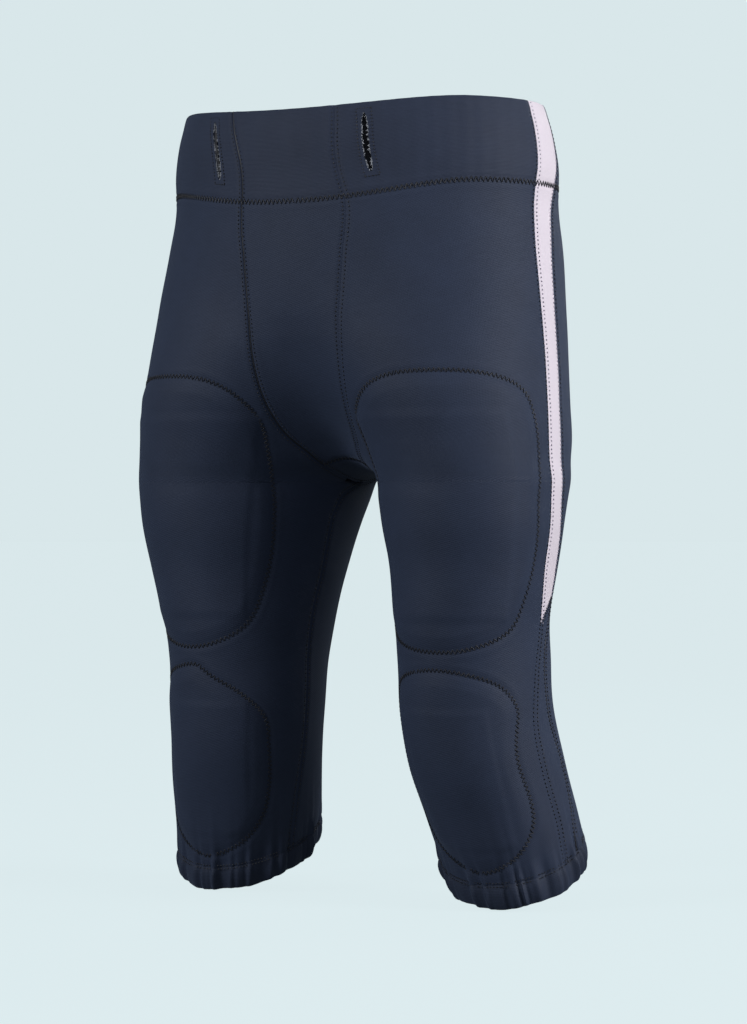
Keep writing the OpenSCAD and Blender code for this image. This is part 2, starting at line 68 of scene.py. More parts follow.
TPL = np.array([[-209,-45],[-214,-35],[-222,-29],[-240,-26],[-300,-28],[-340,-25],[-384,-30],[-402,-35],[-412,-45],[-420,-68]], float)
TPM = np.array([[-209,-82],[-214,-92],[-222,-100],[-240,-114],[-272,-123],[-312,-131],[-350,-132],[-371,-129],[-390,-124],[-404,-118],[-414,-107],[-420,-92]], float)
KPL = np.array([[-434,-76],[-440,-53],[-447,-42],[-455,-35],[-462,-31],[-475,-34],[-490,-38],[-530,-36],[-541,-38],[-551,-46],[-560,-57],[-565,-70],[-567,-80]], float)
KPM = np.array([[-434,-86],[-443,-95],[-449,-108],[-457,-119],[-465,-128],[-474,-135],[-489,-137],[-525,-137],[-546,-131],[-557,-121],[-563,-112],[-567,-94]], float)
TPM_L = np.array([[-209,-82],[-214,-92],[-222,-100],[-240,-114],[-272,-123],[-312,-131],[-350,-136],[-371,-140],[-390,-141],[-404,-137],[-412,-128],[-418,-112],[-421,-100]], float)
KPM_L = np.array([[-434,-100],[-437,-118],[-442,-128],[-449,-135],[-460,-139],[-475,-141],[-489,-141],[-525,-139],[-546,-133],[-557,-123],[-563,-112],[-567,-94]], float)
BOT, CAS, HEM = -291.0, -576.0, -596.0
PIV = (10.0, -180.0)

def herm(tab, z):
    z = np.asarray(z, float); t = tab[::-1]; x = t[:, 0]; y = t[:, 1:]
    z = np.clip(z, x[0], x[-1])
    i = np.clip(np.searchsorted(x, z, side="right") - 1, 0, len(x) - 2); h = x[i + 1] - x[i]; s = (z - x[i]) / h
    m = np.zeros_like(y); d = np.diff(y, axis=0) / np.diff(x)[:, None]; dx = np.diff(x)[:, None]
    m[1:-1] = (d[:-1] * dx[1:] + d[1:] * dx[:-1]) / (dx[1:] + dx[:-1]); m[0] = d[0]; m[-1] = d[-1]
    s = s[..., None]; h = h[..., None]
    return (2*s**3 - 3*s**2 + 1) * y[i] + (s**3 - 2*s**2 + s) * h * m[i] + (-2*s**3 + 3*s**2) * y[i + 1] + (s**3 - s**2) * h * m[i + 1]
def tab(t, z): return herm(t, z)[..., 0]
def lin(t, z): return np.interp(-np.asarray(z, float), -t[:, 0], t[:, 1])
def par(z):
    c = herm(T, z); return [c[..., j] for j in range(10)]
def one(x, y, p):
    cx, ao, ai, cy, bf, bb, sh, k, nf, nb = p
    dy = y - cy; dx = x - cx + sh * dy
    sx = np.where(dx > 0, ao, ai); sy = np.where(dy < 0, bf, bb); n = np.where(dy < 0, nf, nb)
    return (np.abs(dx / sx) ** n + np.abs(dy / sy) ** n) ** (1 / n) - 1
def F(x, y, z, p=None):
    if p is None: p = par(z)
    a = one(x, y, p); b = one(-x, y, p); k = p[7]
    h = np.maximum(k - np.abs(a - b), 0) / k
    return np.minimum(a, b) - h * h * k / 4
def bisect(f, lo, hi, n=20):
    lo = np.array(lo, float); hi = np.array(hi, float)
    for _ in range(n):
        m = (lo + hi) / 2; v = f(m)
        lo = np.where(v < 0, m, lo); hi = np.where(v < 0, hi, m)
    return (lo + hi) / 2
def rad(al, z, p):
    ca, sa = np.cos(al), np.sin(al)
    hi = np.full(al.shape, 260.0)
    hi = np.where(ca < -1e-6, np.minimum(hi, p[0] / np.maximum(-ca, 1e-6) + 1e-3), hi); hi = np.maximum(hi, 1e-3)
    return bisect(lambda m: F(p[0] + m * ca, p[3] + m * sa, z, p), np.zeros_like(hi), hi)
def zact(z0, y, cy):
    q = np.clip((-y - 60) / 54, 0, 1.2)
    return z0 - lin(DIP, z0) * q * q + lin(TILT, z0) * (y - cy)
def surf(adeg, z0):
    al, z0 = np.broadcast_arrays(np.radians(np.asarray(adeg, float)), np.asarray(z0, float))
    p = par(z0); r = rad(al, z0, p); z = zact(z0, p[3] + r * np.sin(al), p[3])
    q = par(z); r = rad(al, z, q)
    return np.stack([q[0] + r * np.cos(al), q[3] + r * np.sin(al), z], -1)
def normal(P, e=.5):
    x, y, z = np.abs(P[..., 0]), P[..., 1], P[..., 2]
    pz = par(z)
    g = np.stack([F(x + e, y, z, pz) - F(x - e, y, z, pz), F(x, y + e, z, pz) - F(x, y - e, z, pz), F(x, y, z + e) - F(x, y, z - e)], -1)
    g /= np.linalg.norm(g, axis=-1, keepdims=True)
    g[..., 0] *= np.where(P[..., 0] < 0, -1, 1)
    return g
def fy(x, z, s=-1):
    x, z = np.broadcast_arrays(np.abs(np.asarray(x, float)), np.asarray(z, float)); p = par(z)
    return bisect(lambda m: F(x, m, z, p), p[3], p[3] + s * 210.0)
def latx(y, z):
    p = par(z); y, z = np.broadcast_arrays(np.asarray(y, float), np.asarray(z, float))
    return bisect(lambda m: F(m, y, z, p), p[0] + 0 * y, p[0] + 220.0 + 0 * y)
def across(x, z0):
    p = par(z0); y = fy(x, z0); return np.degrees(np.arctan2(y - p[3], np.abs(x) - p[0]))
def a_front(z0, sd):
    z0 = np.asarray(z0, float)
    return np.where(z0 > BOT, across(np.abs(tab(CW, z0) + sd * lin(LEAN, z0)), np.maximum(z0, BOT + .01)), tab(IN, z0))
def a_side(t, z0, e=0.0):
    y = tab(t, z0) + e; p = par(z0); x = latx(y, z0); return np.degrees(np.arctan2(y - p[3], x - p[0]))
def a_back(z0):
    z0 = np.asarray(z0, float); zz = np.maximum(z0, BOT + .01)
    p = par(zz); x = lin(CB, zz) + .02; y = fy(x, zz, 1); a = np.degrees(np.arctan2(y - p[3], x - p[0])); a = np.where(a < 0, a + 360, a)
    return np.where(z0 > BOT, a, 360 + tab(IN, z0))
def fanp(x, be):
    x, be = np.broadcast_arrays(np.asarray(x, float), np.radians(np.asarray(be, float)))
    dy, dz = -np.cos(be), -np.sin(be)
    r = bisect(lambda m: F(np.abs(x), PIV[0] + m * dy, PIV[1] + m * dz), 0 * x, 0 * x + 230)
    return np.stack([x, PIV[0] + r * dy, PIV[1] + r * dz], -1)
def fanw(be):
    be = np.asarray(be, float); w = np.full(be.shape, 17.0)
    for _ in range(6):
        z = fanp(w, be)[..., 2]; w = np.where(be < 95, tab(CW, z), lin(CB, z))
    return np.maximum(w, .12)
def flip(P, sd):
    Q = np.array(P, float); Q[..., 0] *= sd; return Q
def sm(t): t = np.clip(t, 0, 1); return t * t * (3 - 2 * t)

# ------------------------------------------------------------------ lines on the surface
def even(P, step):
    P = np.asarray(P, float); d = np.r_[0, np.cumsum(np.linalg.norm(np.diff(P, axis=0), axis=1))]
    n = max(2, int(round(d[-1] / step)) + 1); s = np.linspace(0, d[-1], n)
    return np.stack([np.interp(s, d, P[:, k]) for k in range(P.shape[1])], 1)
def L_az(afun, za, zb, sd, n=240):
    z0 = np.linspace(za, zb, n); return flip(surf(afun(z0), z0), sd)
TIP = -400.0
seams, zigs = {}, {}
for sd, nm in ((1, "left"), (-1, "right")):
    seams["band_front_" + nm] = L_az(lambda z: a_front(z, sd), 0, -64, sd, 80)
    top = L_az(lambda z: a_front(z, sd), -64, -165, sd, 120)
    be = np.linspace(0, 66, 160); fan = fanp(fanw(be), be)
    seams["crotch_" + nm] = np.r_[top, flip(fan, sd)]
    be = np.linspace(66, 157.2, 200); seams["gusset_" + nm] = flip(fanp(fanw(be), be), sd)
    seams["inseam_" + nm] = L_az(lambda z: tab(IN, z), BOT, CAS, sd)
    seams["stripe_front_" + nm] = L_az(lambda z: a_side(SF, z), 0, TIP, sd, 400)
    seams["stripe_back_" + nm] = L_az(lambda z: a_side(SB, z), 0, TIP + 20, sd, 400)
    seams["insert_front_" + nm] = L_az(lambda z: a_side(SF, z), TIP, CAS, sd, 300)
    seams["insert_back_" + nm] = L_az(lambda z: a_side(SB, z), TIP + 20, CAS, sd, 300)
    u = np.linspace(0, 1, 30); z0 = TIP + 20 * u
    seams["stripe_end_" + nm] = flip(surf(a_side(SF, z0) * (1 - u) + a_side(SB, z0) * u, z0), sd)
    def loop(TL, TM, zt, zb):
        zl = np.linspace(zt, zb, 150)
        a = tab(TL, zl); b = tab(TM, zl)
        topa = np.linspace(b[0], a[0], 20)[1:-1]; bota = np.linspace(a[-1], b[-1], 20)[1:-1]
        A = np.r_[topa, a, bota, b[::-1]]; Z = np.r_[topa * 0 + zt, zl, bota * 0 + zb, zl[::-1]]
        # soften the corners
        for _ in range(40):
            A = (np.roll(A, 1) + A * 2 + np.roll(A, -1)) / 4; Z = (np.roll(Z, 1) + Z * 2 + np.roll(Z, -1)) / 4
        return np.r_[A, A[:1]], np.r_[Z, Z[:1]]
    A, Z = loop(TPL, TPM_L if sd > 0 else TPM, -209, -421); zigs["thigh_" + nm] = (A, Z, flip(surf(A, Z), sd))
    A, Z = loop(KPL, KPM_L if sd > 0 else KPM, -434, -568); zigs["knee_" + nm] = (A, Z, flip(surf(A, Z), sd))
zz = np.linspace(-64, -225, 160); seams["back_rise"] = np.stack([0 * zz, fy(0 * zz, zz, 1), zz], -1)
def ring_line(z0, n=400):
    a = np.linspace(-90, 90, n // 2); P = surf(a, z0 + 0 * a); return np.r_[P, flip(P[::-1], -1)[1:], P[:1]]
band_line = ring_line(-64.0)
x = np.linspace(-1, 1, 40); be66 = np.full(40, 66.0); cross_line = fanp(x * float(fanw(np.array(66.0))), be66)
seams["band"] = band_line; seams["cross"] = cross_line

def kd(points):
    k = kdtree.KDTree(len(points))
    for i, p in enumerate(points): k.insert(p, i)
    k.balance(); return k
def kind(k):                      # depth and half-width of the groove (mm)
    if k in ("crotch_right", "band_front_right"): return (2.0, .8)
    if k.startswith("insert_back"): return (1.4, .8)
    if k.startswith("inseam"): return (.7, 1.2)
    if k.startswith("crotch") or k.startswith("gusset") or k.startswith("band_front"): return (.5, 1.1)
    if k.startswith("stripe") or k.startswith("insert"): return (.5, 1.0)
    return (.30, 1.5)
_pts = [(even(v, 1.0), kind(k)) for k, v in seams.items()]
kd_seam = kd(np.concatenate([p for p, _ in _pts]))
SEAM_AMP = np.concatenate([np.full(len(p), a) for p, (a, w) in _pts]); SEAM_W = np.concatenate([np.full(len(p), w) for p, (a, w) in _pts])
kd_zig = {k: kd(even(v[2], 1.0)) for k, v in zigs.items()}
def dist(k, P, index=False):
    Q = P.reshape(-1, 3).tolist(); find = k.find; f = [find(q) for q in Q]
    out = np.array([r[2] for r in f]).reshape(P.shape[:-1])
    return (out, np.array([r[1] for r in f]).reshape(P.shape[:-1])) if index else out

rng = np.random.default_rng(7)
ph = rng.uniform(0, 6.28, 24)
def noise(P, w):
    x, y, z = P[..., 0] / w, P[..., 1] / w, P[..., 2] / w
    return (np.sin(x * 5.1 + ph[0] + 1.7 * np.sin(z * 3.3 + ph[1])) * np.sin(z * 4.3 + ph[2] + 1.3 * np.sin(x * 2.9 + y * 3.1 + ph[3]))
            + .6 * np.sin(y * 6.7 + z * 5.9 + ph[4]) * np.sin(x * 7.3 - z * 3.7 + ph[5])) / 1.6
def gather(A, sd):
    a = np.radians(A); o = 0 if sd > 0 else 8
    w = a + .05 * np.sin(5 * a + ph[6 + o]) + .03 * np.sin(11 * a + ph[7 + o])
    g = .50 * np.cos(31 * w + ph[8 + o]) + .42 * np.cos(19 * w + ph[9 + o]) + .22 * np.cos(53 * w + ph[10 + o]) + .3 * np.cos(11 * w + ph[7 + o])
    return g * (.7 + .3 * np.sin(7 * a + ph[11 + o]))
def relief(P, A, Z0, sd, seamd=True, zig=True, hem=True):
    """height of the cloth above the plain surface (mm)"""
    h = .45 * noise(P, 95.0) * sm((-P[..., 2] - 60) / 60)
    if seamd:
        d, ix = dist(kd_seam, P, True)
        h += -SEAM_AMP[ix] * np.exp(-(d / SEAM_W[ix]) ** 2) + .2 * np.exp(-((d - 4.8) / 2.2) ** 2) - .26 * np.exp(-((d - 2.5) / .75) ** 2)
    if zig:
        for k, TL, TM, zt, zb, up in (("thigh", TPL, TPM, -209, -421, 1.9), ("knee", KPL, KPM, -434, -568, 1.7)):
            for s, nm in ((1, "left"), (-1, "right")):
                mask = (np.sign(P[..., 0]) == s) & (Z0 < zt + 14) & (Z0 > zb - 14)
                if not mask.any(): continue
                d = np.full(P.shape[:-1], 99.0); d[mask] = dist(kd_zig[k + "_" + nm], P[mask])
                TMs = TM if s < 0 else (TPM_L if k == "thigh" else KPM_L)
                a0, a1 = tab(TMs, np.clip(Z0, zb, zt)), tab(TL, np.clip(Z0, zb, zt))
                inside = (A > a0) & (A < a1) & (Z0 < zt) & (Z0 > zb)
                h += np.where(inside & mask, up * sm(d / 13.0), 0)
                h += np.where(mask, -.28 * np.exp(-(d / 2.4) ** 2) + .2 * np.exp(-((d - 5) / 2.4) ** 2), 0)
                # the pad's own rim shows softly through the cloth
                if k == "thigh":
                    e = np.maximum(np.abs(A + 79) / 37.0, np.abs(Z0 + 318) / 78.0)
                    h += np.where(mask, .8 * sm((1.06 - e) / .12), 0)
                else:
                    e = np.maximum(np.abs(A + 88) / 33.0, np.abs(Z0 + 507) / 46.0)
                    h += np.where(mask, .6 * sm((1.06 - e) / .14), 0)
    if hem:
        g = gather(A, sd)
        h += g * (2.0 * sm((-Z0 - 552) / 24) ** 2 + .45 * sm((-Z0 - 515) / 55))
    return h

# ------------------------------------------------------------------ meshes
def new_obj(name, V, Fc, uv=None, mat=None, smooth=True, angle=50):
    me = bpy.data.meshes.new(name)
    V = np.asarray(V, float) * .001
    nf = len(Fc); Fa = np.asarray(Fc, np.int32) if nf and len(set(map(len, Fc))) == 1 else None
    if Fa is not None:
        k = Fa.shape[1]
        me.vertices.add(len(V)); me.vertices.foreach_set("co", V.ravel())
        me.loops.add(nf * k); me.loops.foreach_set("vertex_index", Fa.ravel())
        me.polygons.add(nf); me.polygons.foreach_set("loop_start", np.arange(0, nf * k, k, dtype=np.int32))
        me.update(calc_edges=True)
    else:
        me.from_pydata([tuple(v) for v in V], [], [tuple(f) for f in Fc])
    me.validate()
    if uv is not None and Fa is not None:
        l = me.uv_layers.new(name="cloth"); l.data.foreach_set("uv", (np.asarray(uv, float)[Fa.ravel()] * .001).ravel())
    me.polygons.foreach_set("use_smooth", np.full(len(me.polygons), smooth))
    if smooth: me.set_sharp_from_angle(angle=math.radians(angle))
    o = bpy.data.objects.new(name, me); bpy.context.scene.collection.objects.link(o)
    if mat: me.materials.append(mat)
    return o
sheets = []

# ------------------------------------------------------------------ general slab with holes and wrap-round
def slab2(name, O, I, mat, keep=None, wrap=False):
    R, C = O.shape[:2]; n = R * C
    idx = np.arange(n).reshape(R, C)
    nx = np.roll(idx, -1, 1) if wrap else idx[:, 1:]
    L0 = idx if wrap else idx[:, :-1]
    a, b, c, d = L0[:-1], nx[:-1], nx[1:], L0[1:]
    k = np.ones(a.shape, bool) if keep is None else keep
    q = np.stack([a[k], d[k], c[k], b[k]], 1)
    e0 = np.concatenate([q[:, [0, 1]], q[:, [1, 2]], q[:, [2, 3]], q[:, [3, 0]]])
    key = e0[:, 0].astype(np.int64) * n + e0[:, 1]; rev = e0[:, 1].astype(np.int64) * n + e0[:, 0]
    bd = e0[~np.isin(key, rev)]
    wall = np.stack([bd[:, 1], bd[:, 0], bd[:, 0] + n, bd[:, 1] + n], 1)
    Fc = np.concatenate([q, q[:, ::-1] + n, wall])
    s = np.zeros((R, C)); s[:, 1:] = np.cumsum(np.linalg.norm(np.diff(O, axis=1), axis=2), axis=1)
    v = np.zeros((R, C)); v[1:] = np.cumsum(np.linalg.norm(np.diff(O, axis=0), axis=2), axis=0)
    v = np.repeat(v[:, C // 2][:, None], C, 1)
    uv = np.stack([s, -v], -1).reshape(-1, 2); uv = np.concatenate([uv, uv])
    V = np.concatenate([O.reshape(-1, 3), I.reshape(-1, 3)])
    used = np.unique(Fc); re = np.full(len(V), -1); re[used] = np.arange(len(used))
    o = new_obj(name, V[used], re[Fc], uv[used], mat)
    w = float((s.max(1) - s.min(1)).max()) * .001; Lv = float(v.max()) * .001
    area = float((np.linalg.norm(np.cross(V[q[:, 1]] - V[q[:, 0]], V[q[:, 3]] - V[q[:, 0]]), axis=-1)).sum()) * 1e-6
    return o, (w, Lv, area)
def declare(o, node, dims, body="garment"):
    w, L, area = dims
    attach(o, body)
    if node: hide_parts(node)
    flat = (max(.011, round(w + .0005, 3)), max(.011, round(L + .0005, 3)))
    ar = round(min(max(area, .31 * flat[0] * flat[1]), flat[0] * flat[1]), 6)
    sheets.append((o.name, flat, ar))
    return o

# ------------------------------------------------------------------ spacing helpers: fine near the seams
def fine(length, core, edge=.35, grow=1.28):
    """parameters 0..1 across a panel of that length, closer together at both ends"""
    st, s = [0.0], edge
    while s < core and st[-1] < length / 2 - core:
        st.append(st[-1] + s); s *= grow
    m = max(2, int(round((length - 2 * st[-1]) / core)))
    mid = np.linspace(st[-1], length - st[-1], m + 1)[1:-1]
    return np.r_[st, mid, length - np.array(st[::-1])] / length
def zrows(za, zb, core): return za + (zb - za) * fine(abs(zb - za), core)
GAP = .06
def panel(name, node, aL, aR, zs, us, sd, mat, **kw):
    Z = zs[:, None] + 0 * us[None, :]
    A = aL(zs)[:, None] * (1 - us[None, :]) + aR(zs)[:, None] * us[None, :]
    P = surf(A, Z)
    if sd < 0: P = flip(P, -1)[:, ::-1]; A = A[:, ::-1]; Z = Z[:, ::-1]
    N = normal(P); h = relief(P, A, Z, sd, **kw)
    O = P + N * h[..., None]; I = P + N * (np.minimum(h, .4) - 1.5)[..., None]
    o, dims = slab2(name, O, I, mat)
    return declare(o, node, dims)

# ------------------------------------------------------------------ materials
def rgb(r, g, b):
    f = lambda c: (c / 255 / 12.92) if c <= 10 else ((c / 255 + .055) / 1.055) ** 2.4
    return (f(r), f(g), f(b), 1)
def knit(name, col, dark, rib=1.3, ribang=-14, bump=.28, sheen=.16, tint=(.42, .55, .85, 1), rough=.72, mottle=.35, spec=.28):
    m = bpy.data.materials.new(name); m.use_nodes = True; nt = m.node_tree; N = nt.nodes; Lk = nt.links.new
    b = N["Principled BSDF"]; uvn = N.new("ShaderNodeUVMap"); uvn.uv_map = "cloth"
    mp = N.new("ShaderNodeMapping"); mp.inputs["Rotation"].default_value = (0, 0, math.radians(ribang)); Lk(uvn.outputs[0], mp.inputs[0])
    # courses of the knit: fine ribs, broken up by the stitches along them
    wv = N.new("ShaderNodeTexWave"); wv.wave_type = "BANDS"; wv.bands_direction = "Y"; wv.inputs["Scale"].default_value = 2 * math.pi * 1000 / rib / 20
    wv.inputs["Distortion"].default_value = .6; wv.inputs["Detail"].default_value = 2; wv.inputs["Detail Scale"].default_value = 1.5; Lk(mp.outputs[0], wv.inputs[0])
    w2 = N.new("ShaderNodeTexWave"); w2.wave_type = "BANDS"; w2.bands_direction = "X"; w2.inputs["Scale"].default_value = 2 * math.pi * 1000 / (rib * .9) / 20
    w2.inputs["Distortion"].default_value = .8; Lk(mp.outputs[0], w2.inputs[0])
    n1 = N.new("ShaderNodeTexNoise"); n1.inputs["Scale"].default_value = 1400; n1.inputs["Detail"].default_value = 3
    n2 = N.new("ShaderNodeTexNoise"); n2.inputs["Scale"].default_value = 34; n2.inputs["Detail"].default_value = 4; n2.inputs["Roughness"].default_value = .6
    geo = N.new("ShaderNodeTexCoord"); Lk(geo.outputs["Object"], n1.inputs[0]); Lk(geo.outputs["Object"], n2.inputs[0])
    # longer slubs along the courses, as a knit of filament yarn has
    mp3 = N.new("ShaderNodeMapping"); mp3.inputs["Scale"].default_value = (60, 900, 1); Lk(mp.outputs[0], mp3.inputs[0])
    n3 = N.new("ShaderNodeTexNoise"); n3.inputs["Scale"].default_value = 1.0; n3.inputs["Detail"].default_value = 3; Lk(mp3.outputs[0], n3.inputs[0])
    def math_(op, x, y):
        k = N.new("ShaderNodeMath"); k.operation = op
        for i, v in enumerate((x, y)):
            if isinstance(v, (int, float)): k.inputs[i].default_value = v
            else: Lk(v, k.inputs[i])
        return k.outputs[0]
    hgt = math_("ADD", math_("MULTIPLY", wv.outputs["Fac"], .5), math_("MULTIPLY", w2.outputs["Fac"], .22))
    hgt = math_("ADD", hgt, math_("MULTIPLY", n1.outputs["Fac"], .35)); hgt = math_("ADD", hgt, math_("MULTIPLY", n3.outputs["Fac"], .45))
    bp = N.new("ShaderNodeBump"); bp.inputs["Strength"].default_value = bump; bp.inputs["Distance"].default_value = .0006; Lk(hgt, bp.inputs["Height"])
    Lk(bp.outputs[0], b.inputs["Normal"])
    f = math_("ADD", math_("MULTIPLY", n2.outputs["Fac"], mottle), math_("MULTIPLY", hgt, .55))
    mr = N.new("ShaderNodeMapRange"); mr.inputs["From Min"].default_value = .3; mr.inputs["From Max"].default_value = 1.1; Lk(f, mr.inputs[0])
    mx = N.new("ShaderNodeMix"); mx.data_type = "RGBA"; mx.inputs["A"].default_value = dark; mx.inputs["B"].default_value = col
    Lk(mr.outputs[0], mx.inputs["Factor"]); Lk(mx.outputs["Result"], b.inputs["Base Color"])
    rr = N.new("ShaderNodeMapRange"); rr.inputs["To Min"].default_value = rough + .08; rr.inputs["To Max"].default_value = rough - .1; Lk(hgt, rr.inputs[0]); Lk(rr.outputs[0], b.inputs["Roughness"])
    b.inputs["Sheen Weight"].default_value = sheen; b.inputs["Sheen Roughness"].default_value = .45; b.inputs["Sheen Tint"].default_value = tint
    b.inputs["Specular IOR Level"].default_value = spec
    m.diffuse_color = col
    return m
NAVY = knit("navy_knit", rgb(50, 61, 86), rgb(33, 41, 60))
NAVY_BAND = knit("navy_waistband", rgb(50, 60, 84), rgb(35, 42, 60), ribang=0, rib=1.0, bump=.3)
# hem casing knit: the leg's navy made a little darker, as painted shade on the hem
HEM_NAVY_SHADED = knit("navy_hem_painted_shade", rgb(47, 57, 80), rgb(30, 37, 54), ribang=0)
# inside faces (waistband lining, pocket plies): the navy knit painted much darker, as painted shade of the inside, seen
# as the dark gap behind the belt slots
NAVY_INNER_SHADED = knit("navy_inner_painted_shade", rgb(28, 32, 44), rgb(18, 21, 30), ribang=0, sheen=.15)
WHITE = knit("white_knit", rgb(240, 229, 240), rgb(222, 212, 224), ribang=0, rib=1.0, bump=.22, sheen=.25, tint=(1, 1, 1, 1), mottle=.2)
ELAST = knit("woven_elastic", rgb(205, 206, 208), rgb(160, 161, 166), ribang=90, rib=1.6, bump=.5, sheen=.1, tint=(1, 1, 1, 1))
FACING = knit("slot_facing_cloth", rgb(120, 125, 138), rgb(70, 74, 88), ribang=0, rib=.8, bump=.5, sheen=.3, tint=(1, 1, 1, 1))
def foam(name, c, d):
    m = bpy.data.materials.new(name); m.use_nodes = True; nt = m.node_tree; N = nt.nodes; Lk = nt.links.new; b = N["Principled BSDF"]
    t = N.new("ShaderNodeTexCoord"); v = N.new("ShaderNodeTexVoronoi"); v.inputs["Scale"].default_value = 900; Lk(t.outputs["Object"], v.inputs[0])
    n = N.new("ShaderNodeTexNoise"); n.inputs["Scale"].default_value = 60; n.inputs["Detail"].default_value = 4; Lk(t.outputs["Object"], n.inputs[0])
    bp = N.new("ShaderNodeBump"); bp.inputs["Strength"].default_value = .35; bp.inputs["Distance"].default_value = .0004; Lk(v.outputs["Distance"], bp.inputs["Height"]); Lk(bp.outputs[0], b.inputs["Normal"])
    mx = N.new("ShaderNodeMix"); mx.data_type = "RGBA"; mx.inputs["A"].default_value = c; mx.inputs["B"].default_value = d; Lk(n.outputs["Fac"], mx.inputs["Factor"]); Lk(mx.outputs["Result"], b.inputs["Base Color"])
    b.inputs["Roughness"].default_value = .8; b.inputs["Specular IOR Level"].default_value = .25; m.diffuse_color = c
    return m
FOAM = foam("pad_foam", rgb(206, 206, 200), rgb(180, 181, 176))
def thread(name, c, d, rough=.55):
    m = bpy.data.materials.new(name); m.use_nodes = True; nt = m.node_tree; N = nt.nodes; Lk = nt.links.new; b = N["Principled BSDF"]
    t = N.new("ShaderNodeTexCoord"); n = N.new("ShaderNodeTexNoise"); n.inputs["Scale"].default_value = 1600; Lk(t.outputs["Object"], n.inputs[0])
    mx = N.new("ShaderNodeMix"); mx.data_type = "RGBA"; mx.inputs["A"].default_value = c; mx.inputs["B"].default_value = d; Lk(n.outputs["Fac"], mx.inputs["Factor"]); Lk(mx.outputs["Result"], b.inputs["Base Color"])
    bp = N.new("ShaderNodeBump"); bp.inputs["Strength"].default_value = .4; bp.inputs["Distance"].default_value = .0002; Lk(n.outputs["Fac"], bp.inputs["Height"]); Lk(bp.outputs[0], b.inputs["Normal"])
    b.inputs["Roughness"].default_value = rough; b.inputs["Sheen Weight"].default_value = .1; m.diffuse_color = c
    return m
LIGHT_THREAD = thread("grey_thread", rgb(172, 166, 182), rgb(150, 145, 160))
# stitching thread: near-black rather than navy, so the stitches also carry the painted shade of their needle holes
THREAD = thread("navy_thread_with_painted_hole_shade", rgb(13, 15, 24), rgb(24, 27, 40))
FRAY = thread("frayed_yarn", rgb(206, 209, 217), rgb(112, 117, 130), .8)

# ------------------------------------------------------------------ panels
core = 1.35
S_L = {}
lf = lambda f: (lambda z: np.asarray(f(z), float))
for sd, nm in ((1, "left"), (-1, "right")):
    aF = lambda z, sd=sd: a_front(z, sd)
    us = fine(150, core); zs = zrows(-64, CAS, core)
    S_L["front_leg_panel_" + nm] = panel("front_leg_cloth_" + nm, "front_leg_panel_" + nm, aF, lambda z: a_side(SF, z), zs, us, sd, NAVY)
    S_L["back_leg_panel_" + nm] = panel("back_leg_cloth_" + nm, "back_leg_panel_" + nm, lambda z: a_side(SB, z), a_back, zrows(-64, CAS, core * 1.25), fine(150, core * 1.25), sd, NAVY)
    # stripe and insert meet on a slanting seam
    def strip(name, node, ztop, zbot, n, m, mat):
        us = fine(34, core); v = fine(n, core)[:, None]
        Z = ztop(us)[None, :] * (1 - v) + zbot(us)[None, :] * v
        A = a_side(SF, Z) * (1 - us)[None, :] + a_side(SB, Z) * us[None, :]
        P = surf(A, Z)
        if sd < 0: P = flip(P, -1)[:, ::-1]; A = A[:, ::-1]; Z = Z[:, ::-1]
        N = normal(P); h = relief(P, A, Z, sd)
        o, dims = slab2(name, P + N * h[..., None], P + N * (np.minimum(h, .4) - 1.5)[..., None], mat)
        return declare(o, node, dims)
    strip("side_stripe_cloth_" + nm, "side_stripe_" + nm, lambda u: -64 + 0 * u, lambda u: TIP + 20 * u, 335, 0, WHITE)
    strip("side_insert_cloth_" + nm, "side_insert_" + nm, lambda u: TIP + 20 * u, lambda u: CAS + 0 * u, 180, 0, NAVY)

# crotch panel and gusset
us = fine(72, core); zs = zrows(-64, -165, core); rows_ = []
for z0 in zs:
    w = float(tab(CW, np.array(z0))); x = (2 * us - 1) * w + float(lin(LEAN, z0)); a = across(np.abs(x), np.full(x.shape, z0)); q = surf(a, np.full(x.shape, z0)); q[:, 0] *= np.where(x < 0, -1, 1); rows_.append(q)
bes = np.linspace(0, 66, int(120 / core))
P = np.array(rows_)
Pf = np.array([fanp((2 * us - 1) * float(fanw(np.array(b))), np.full(us.shape, b)) for b in bes])
P = np.concatenate([P, Pf]); h = relief(P, 0 * P[..., 0] - 300, P[..., 2] * 0 - 150, 1, zig=False, hem=False)
N = normal(P); o, dims = slab2("crotch_cloth", P + N * h[..., None], P + N * (np.minimum(h, .4) - 1.5)[..., None], NAVY); declare(o, "crotch_panel", dims)
bes = np.linspace(66, 157.3, int(190 / core)); P = np.array([fanp((2 * us - 1) * float(fanw(np.array(b))), np.full(us.shape, b)) for b in bes])
h = relief(P, 0 * P[..., 0] - 300, P[..., 2] * 0 - 150, 1, zig=False, hem=False)
N = normal(P); o, dims = slab2("gusset_cloth", P + N * h[..., None], P + N * (np.minimum(h, .4) - 1.5)[..., None], NAVY); declare(o, "crotch_gusset", dims)

# ------------------------------------------------------------------ waistband
SLZ, SLH = -28.5, 41.0
def slot_x(z0, sd): return 68 + sd * float(lin(LEAN, SLZ)) + (np.asarray(z0) - SLZ) * -math.tan(math.radians(10)) * sd
def slot_half(z0, w=2.7):
    t = np.clip(np.abs((np.asarray(z0) - SLZ) / (SLH / 2)), 0, 1)
    return w * np.sqrt(np.maximum(1 - t ** 5, .05))
def band_relief(P, Z0):
    h = relief(P, 0 * Z0, Z0, 1, zig=False, hem=False)
    h = h + .35 * np.exp(-((Z0 + 4) / 5) ** 2) + .25 * sm((Z0 + 60) / 8)
    # soft ripples of the elastic behind
    return h + .10 * np.sin(P[..., 0] / 2.6 + P[..., 1] / 3.1)
bz = np.r_[0, -.35, -.9, -1.6, np.linspace(-2.6, -60, 48 if core < 2 else 20), -61.2, -62.2, -63, -63.6, -64]
